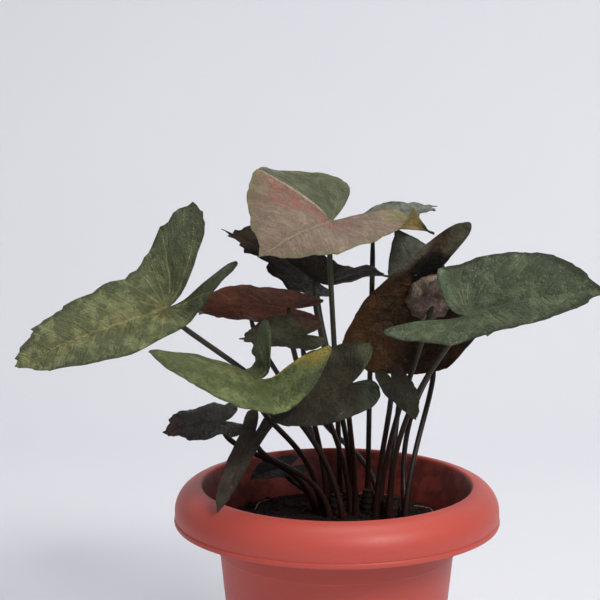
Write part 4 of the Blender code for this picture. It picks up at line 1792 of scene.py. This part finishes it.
        def spot(u: float, v: float) -> Spot:
            """Place one point of the blade.

            Args:
                u: Share of the way round the edge.
                v: Share of the way from the stalk to the edge.

            Returns:
                The point in metres and its places on the two maps.
            """
            reach = round(v * rows) / rows
            flat = self.trimmed(round(u * columns), reach)
            return self.kept_in(place @ self.bent(*flat, reach)), flat, (reach, 0.5)

        shape = mapped(columns, rows, spot)
        bmesh.ops.remove_doubles(shape, verts=shape.verts, dist=0.002 * MM)
        bmesh.ops.dissolve_degenerate(shape, dist=0.0005 * MM, edges=shape.edges)
        above = place.to_3x3() @ Vector((0, 0, 1))
        shape.normal_update()
        if sum((face.normal.dot(above) * face.calc_area() for face in shape.faces), 0.0) < 0:
            bmesh.ops.reverse_faces(shape, faces=shape.faces)
        return shape

    def reach_at(self, along: float, across: float) -> float:
        """Find how near the edge a flat point lies.

        Args:
            along: Place along the midrib.
            across: Place across it.

        Returns:
            0 at the stalk and 1 at the edge.
        """
        bearing = math.atan2(across, along)
        nearest = min(self.edge, key=lambda spot: abs(
            math.remainder(math.atan2(spot[1], spot[0]) - bearing, math.tau)))
        return math.hypot(along, across) / max(math.hypot(*nearest), 1e-6)

    def under_point(self, place: Matrix, along: float, across: float, radius: float) -> Vector:
        """Find where the middle of a rib runs under the blade.

        Args:
            place: The blade's placement.
            along: Place along the midrib.
            across: Place across it.
            radius: The rib's radius there.

        Returns:
            The point.
        """
        reach = min(self.reach_at(along, across), 1.0)
        step = 0.01
        sign = 1.0 if across >= 0 else -1.0
        here = place @ self.bent(along, across, reach)
        ahead = place @ self.bent(along + step, across, reach) - here
        left = place @ self.bent(along, across + sign * step, reach) - here
        above = ahead.cross(left * sign).normalized()
        if self.form.turned:
            return here + above * max(0.0, radius - self.thickness * 0.9)
        return here - above * (self.thickness * 0.9 + max(0.0, radius - self.thickness * 0.8))

    def rib_runs(self) -> list[Route]:
        """Lay the midrib, the lobes' veins and the side veins under the blade.

        Returns:
            Their routes with radii.
        """
        place = self.placement()
        size = self.length / self.ribs_fit
        shares = [step / self.rib_steps for step in range(self.rib_steps + 1)]
        paths = [([(self.rib_reach * step / 20, 0.0) for step in range(21)], self.midrib)]
        for side, sign in ((0, 1.0), (1, -1.0)):
            corner = (-self.form.lobe[side] * 0.86, sign * self.form.spread[side] * 0.8)
            path = [(corner[0] * share, corner[1] * share ** 0.8) for share in shares]
            paths.append((path, self.lobe_rib))
            for count in range(1, self.side_veins + 1):
                path = []
                for share in shares:
                    across = 0.5 * share
                    along = VEIN_SPACING * count + VEIN_LEAN * across + VEIN_BOW * across * across
                    if self.reach_at(along, sign * across) > self.rib_reach:
                        break
                    path.append((along, sign * across))
                if len(path) > 3:
                    paths.append((path, self.side_rib))
        runs = []
        for path, (thick, thin) in paths:
            run = []
            for index, (along, across) in enumerate(path):
                radius = size * (thick + (thin - thick) * index / (len(path) - 1))
                run.append((self.under_point(place, along, across, radius), radius))
            runs.append(run)
        return runs

    def build_blade(self, effects: Effects) -> Piece:
        """Make the blade with its thickness and its ribs.

        Args:
            effects: The shared effects.

        Returns:
            The piece.
        """
        name = self.form.name
        finishes = [self.finish.upper(name, effects), self.finish.lower(name, effects)]
        if self.form.turned:
            finishes.reverse()
        finishes.append(self.finish.ribs(name))
        blade = thickened(self.blade_sheet(), "sheet_" + name, self.thickness, len(finishes))
        ribs = tubes("ribs_" + name, self.rib_runs(), 1)
        for face in ribs.polygons:
            face.material_index = 2
        shape = bmesh.new()
        for part in (blade, ribs):
            shape.from_mesh(part)
            bpy.data.meshes.remove(part)
        whole = mesh_from(shape, "blade_" + name, 70.0)
        return publish(whole, "blade_" + name, finishes, ["leaf_" + name])

    def steepest_dip(self, place: Matrix, face_up: Vector) -> float:
        """Find the steepest fall of the blade near its stalk, as the solid has it.

        Args:
            place: The blade's placement.
            face_up: The way that the blade's upper face looks.

        Returns:
            The fall, as a share of the way out.
        """
        dips = [0.0]
        for along, across in self.edge:
            ray = place @ self.bent(along * 0.36, across * 0.36, 0.36, 0.0) - Vector(self.form.top)
            dips.append(-ray.dot(face_up) / ray.length)
        return max(dips)

    def stalk_run(self) -> Route:
        """Lay the stalk from the soil to the blade.

        Returns:
            Its route with radii.
        """
        form = self.form
        place = self.placement()
        face_up = (place.to_3x3() @ Vector((0, 0, 1))).normalized()
        arrive = Vector(form.arrive).normalized()
        if arrive.dot(face_up) > -0.2:
            arrive = (arrive - face_up * 0.8).normalized()
        tilt = math.sqrt(max(0.0, 1.0 - arrive.dot(face_up) ** 2))
        dip = self.steepest_dip(place, face_up)
        below = self.gap + self.solid_thickness + self.top_radius * (tilt + 2 * dip)
        top = Vector(form.top) - face_up * below
        foot = Vector((*form.foot, self.soil_level))
        span = (top - foot).length
        lean = Vector((
            (top.x - foot.x) * self.stalk_lean + form.bow[0],
            (top.y - foot.y) * self.stalk_lean + form.bow[1],
            span * form.rise,
        ))
        curve = (foot, foot + lean, top + arrive * span * 0.25, top)
        run = [(foot - lean.normalized() * self.rooted, self.foot_radius)]
        for step in range(self.stalk_steps + 1):
            point = Vector(bezier(curve, step / self.stalk_steps))
            share = min(max((point.z - self.soil_level) / self.sheath_height, 0.0), 1.0)
            radius = self.foot_radius + (self.stalk_radius - self.foot_radius) * share ** 0.7
            close = smooth(step / self.stalk_steps, 0.86, 0.97)
            radius += (self.top_radius * 1.15 - radius) * close
            run.append((point, radius))
        run.append((Vector(form.top) - face_up * self.thickness * 0.6, self.top_radius * 1.05))
        return run

    def build_stalk(self, effects: Effects) -> Piece:
        """Make the stalk.

        Args:
            effects: The shared effects.

        Returns:
            The piece.
        """
        name = self.form.name
        data = tubes("petiole_" + name, [self.stalk_run()], 4)
        finish = StalkFinish().material(name, effects)
        return publish(data, "petiole_" + name, [finish], ["stalk_" + name])

    def build(self, effects: Effects) -> None:
        """Make the blade and the stalk."""
        self.build_blade(effects)
        self.build_stalk(effects)


# The studio


class Lamp(Enum):
    """The studio's lights: place in metres, size in metres, power in watts, colour."""

    KEY = ((1.1, -1.5, 1.8), 0.8, 43.0, (1.0, 0.98, 0.945))
    FILL = ((-1.6, -1.5, 0.9), 1.8, 2.6, (0.94, 0.97, 1.0))
    TOP = ((0.2, 0.1, 2.1), 1.2, 16.0, (1.0, 1.0, 1.0))


@dataclass
class Studio:
    """The pale floor, the soft light and the camera, in metres and degrees."""

    camera_place: Place = (0.0, -1.061, 0.4483)
    pitch_down: float = 9.38
    turn_left: float = 1.24
    lens: float = 105.3
    aim: Place = (0.0, 0.0, 0.2)
    sky: Colour = (0.87, 0.885, 0.92)
    sky_strength: float = 0.30
    floor: tuple[Colour, Colour] = ((0.71, 0.715, 0.765), (0.76, 0.765, 0.805))
    half_width: float = 4.0
    bend_from: float = 0.7
    bend_radius: float = 0.5
    bend_steps: int = 12
    wall_height: float = 3.0

    def build_floor(self) -> None:
        """Make the floor, which sweeps up behind the plant."""
        shape = bmesh.new()
        spots = [(-self.half_width, 0.0), (self.bend_from, 0.0)]
        for step in range(1, self.bend_steps + 1):
            turn = math.pi / 2 * step / self.bend_steps
            spots.append((self.bend_from + self.bend_radius * math.sin(turn),
                          self.bend_radius * (1 - math.cos(turn))))
        spots.append((self.bend_from + self.bend_radius, self.wall_height))
        line = [shape.verts.new((-self.half_width, depth, height)) for depth, height in spots]
        edges = [shape.edges.new(pair) for pair in zip(line, line[1:])]
        made = bmesh.ops.extrude_edge_only(shape, edges=edges)
        far = [item for item in made["geom"] if isinstance(item, bmesh.types.BMVert)]
        bmesh.ops.translate(shape, verts=far, vec=(2 * self.half_width, 0.0, 0.0))
        shape.normal_update()
        turned = [face for face in shape.faces if face.normal.z - face.normal.y < 0]
        bmesh.ops.reverse_faces(shape, faces=turned)
        floor = loose(mesh_from(shape, "studio_floor"), "studio_floor")
        paint = Paint("pale_floor")
        material = paint.coat(paint.mix(paint.noise(paint.place(), 2.0, 2.0), *self.floor), 0.9, 0.5)
        seen = 1.0 - paint.node("NewGeometry", "Backfacing", {})
        paint.feed(material.node_tree.nodes["Principled BSDF"].inputs["Alpha"], seen)
        floor.data.materials.append(material)
        floor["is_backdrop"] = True

    def build_lights(self) -> None:
        """Hang the lights and set the sky."""
        for lamp in Lamp:
            place, size, power, colour = lamp.value
            data = bpy.data.lights.new("light_" + lamp.name.lower(), "AREA")
            data.shape = "DISK"
            data.size = size
            data.energy = power
            data.color = colour
            light = loose(data, data.name)
            light.location = place
            away = Vector(place) - Vector(self.aim)
            light.rotation_mode = "QUATERNION"
            light.rotation_quaternion = away.to_track_quat("Z", "Y")
        world = bpy.data.worlds.new("soft_sky")
        world.use_nodes = True
        background = world.node_tree.nodes["Background"]
        background.inputs["Color"].default_value = (*self.sky, 1.0)
        background.inputs["Strength"].default_value = self.sky_strength
        bpy.context.scene.world = world

    def build_camera(self) -> None:
        """Set the camera where the photograph was taken from."""
        data = bpy.data.cameras.new("photo_camera")
        data.lens = self.lens
        data.sensor_width = 36.0
        data.clip_start = 0.05
        data.clip_end = 30.0
        camera = loose(data, "photo_camera")
        camera.location = self.camera_place
        camera.rotation_euler = (math.radians(90 - self.pitch_down), 0.0, math.radians(self.turn_left))
        bpy.context.scene.camera = camera

    def build(self) -> None:
        """Set up the whole studio."""
        self.build_floor()
        self.build_lights()
        self.build_camera()
        bpy.context.scene.view_settings.view_transform = "Standard"
        LOG.info("studio ready")


CROWNS = {
    "crown_left": (0.0, 14.0),
    "crown_middle": (20.0, 25.0),
    "crown_right": (35.0, 9.0),
}


def write_size() -> None:
    """Bring the view layer up to date.
    """
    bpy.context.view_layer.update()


def main() -> None:
    """Build the plant, its pot and the studio in order."""
    logging.basicConfig(level=logging.INFO, format="%(message)s")
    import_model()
    solid_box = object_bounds()
    effects = Effects()
    pot = Pot()
    pot.build(effects)
    soil = Soil(pot)
    soil.build()
    bark = GroundFinish((0.013, 0.006, 0.004), (0.034, 0.017, 0.011), 180.0, 0.5, 0.0008)
    bark_finish = bark.material("stem_bark")
    for name, (x, y) in CROWNS.items():
        Crown(name, x, y, soil.level).build(bark_finish)
    for form in LEAF_FORMS:
        Leaf(form, LEAF_FINISHES.get(form.name, OLIVE), solid_box, soil.level).build(effects)
    CurledLobe().build(effects)
    FoldedTip().build(effects)
    Studio().build()
    write_size()


if __name__ == "__main__":
    main()
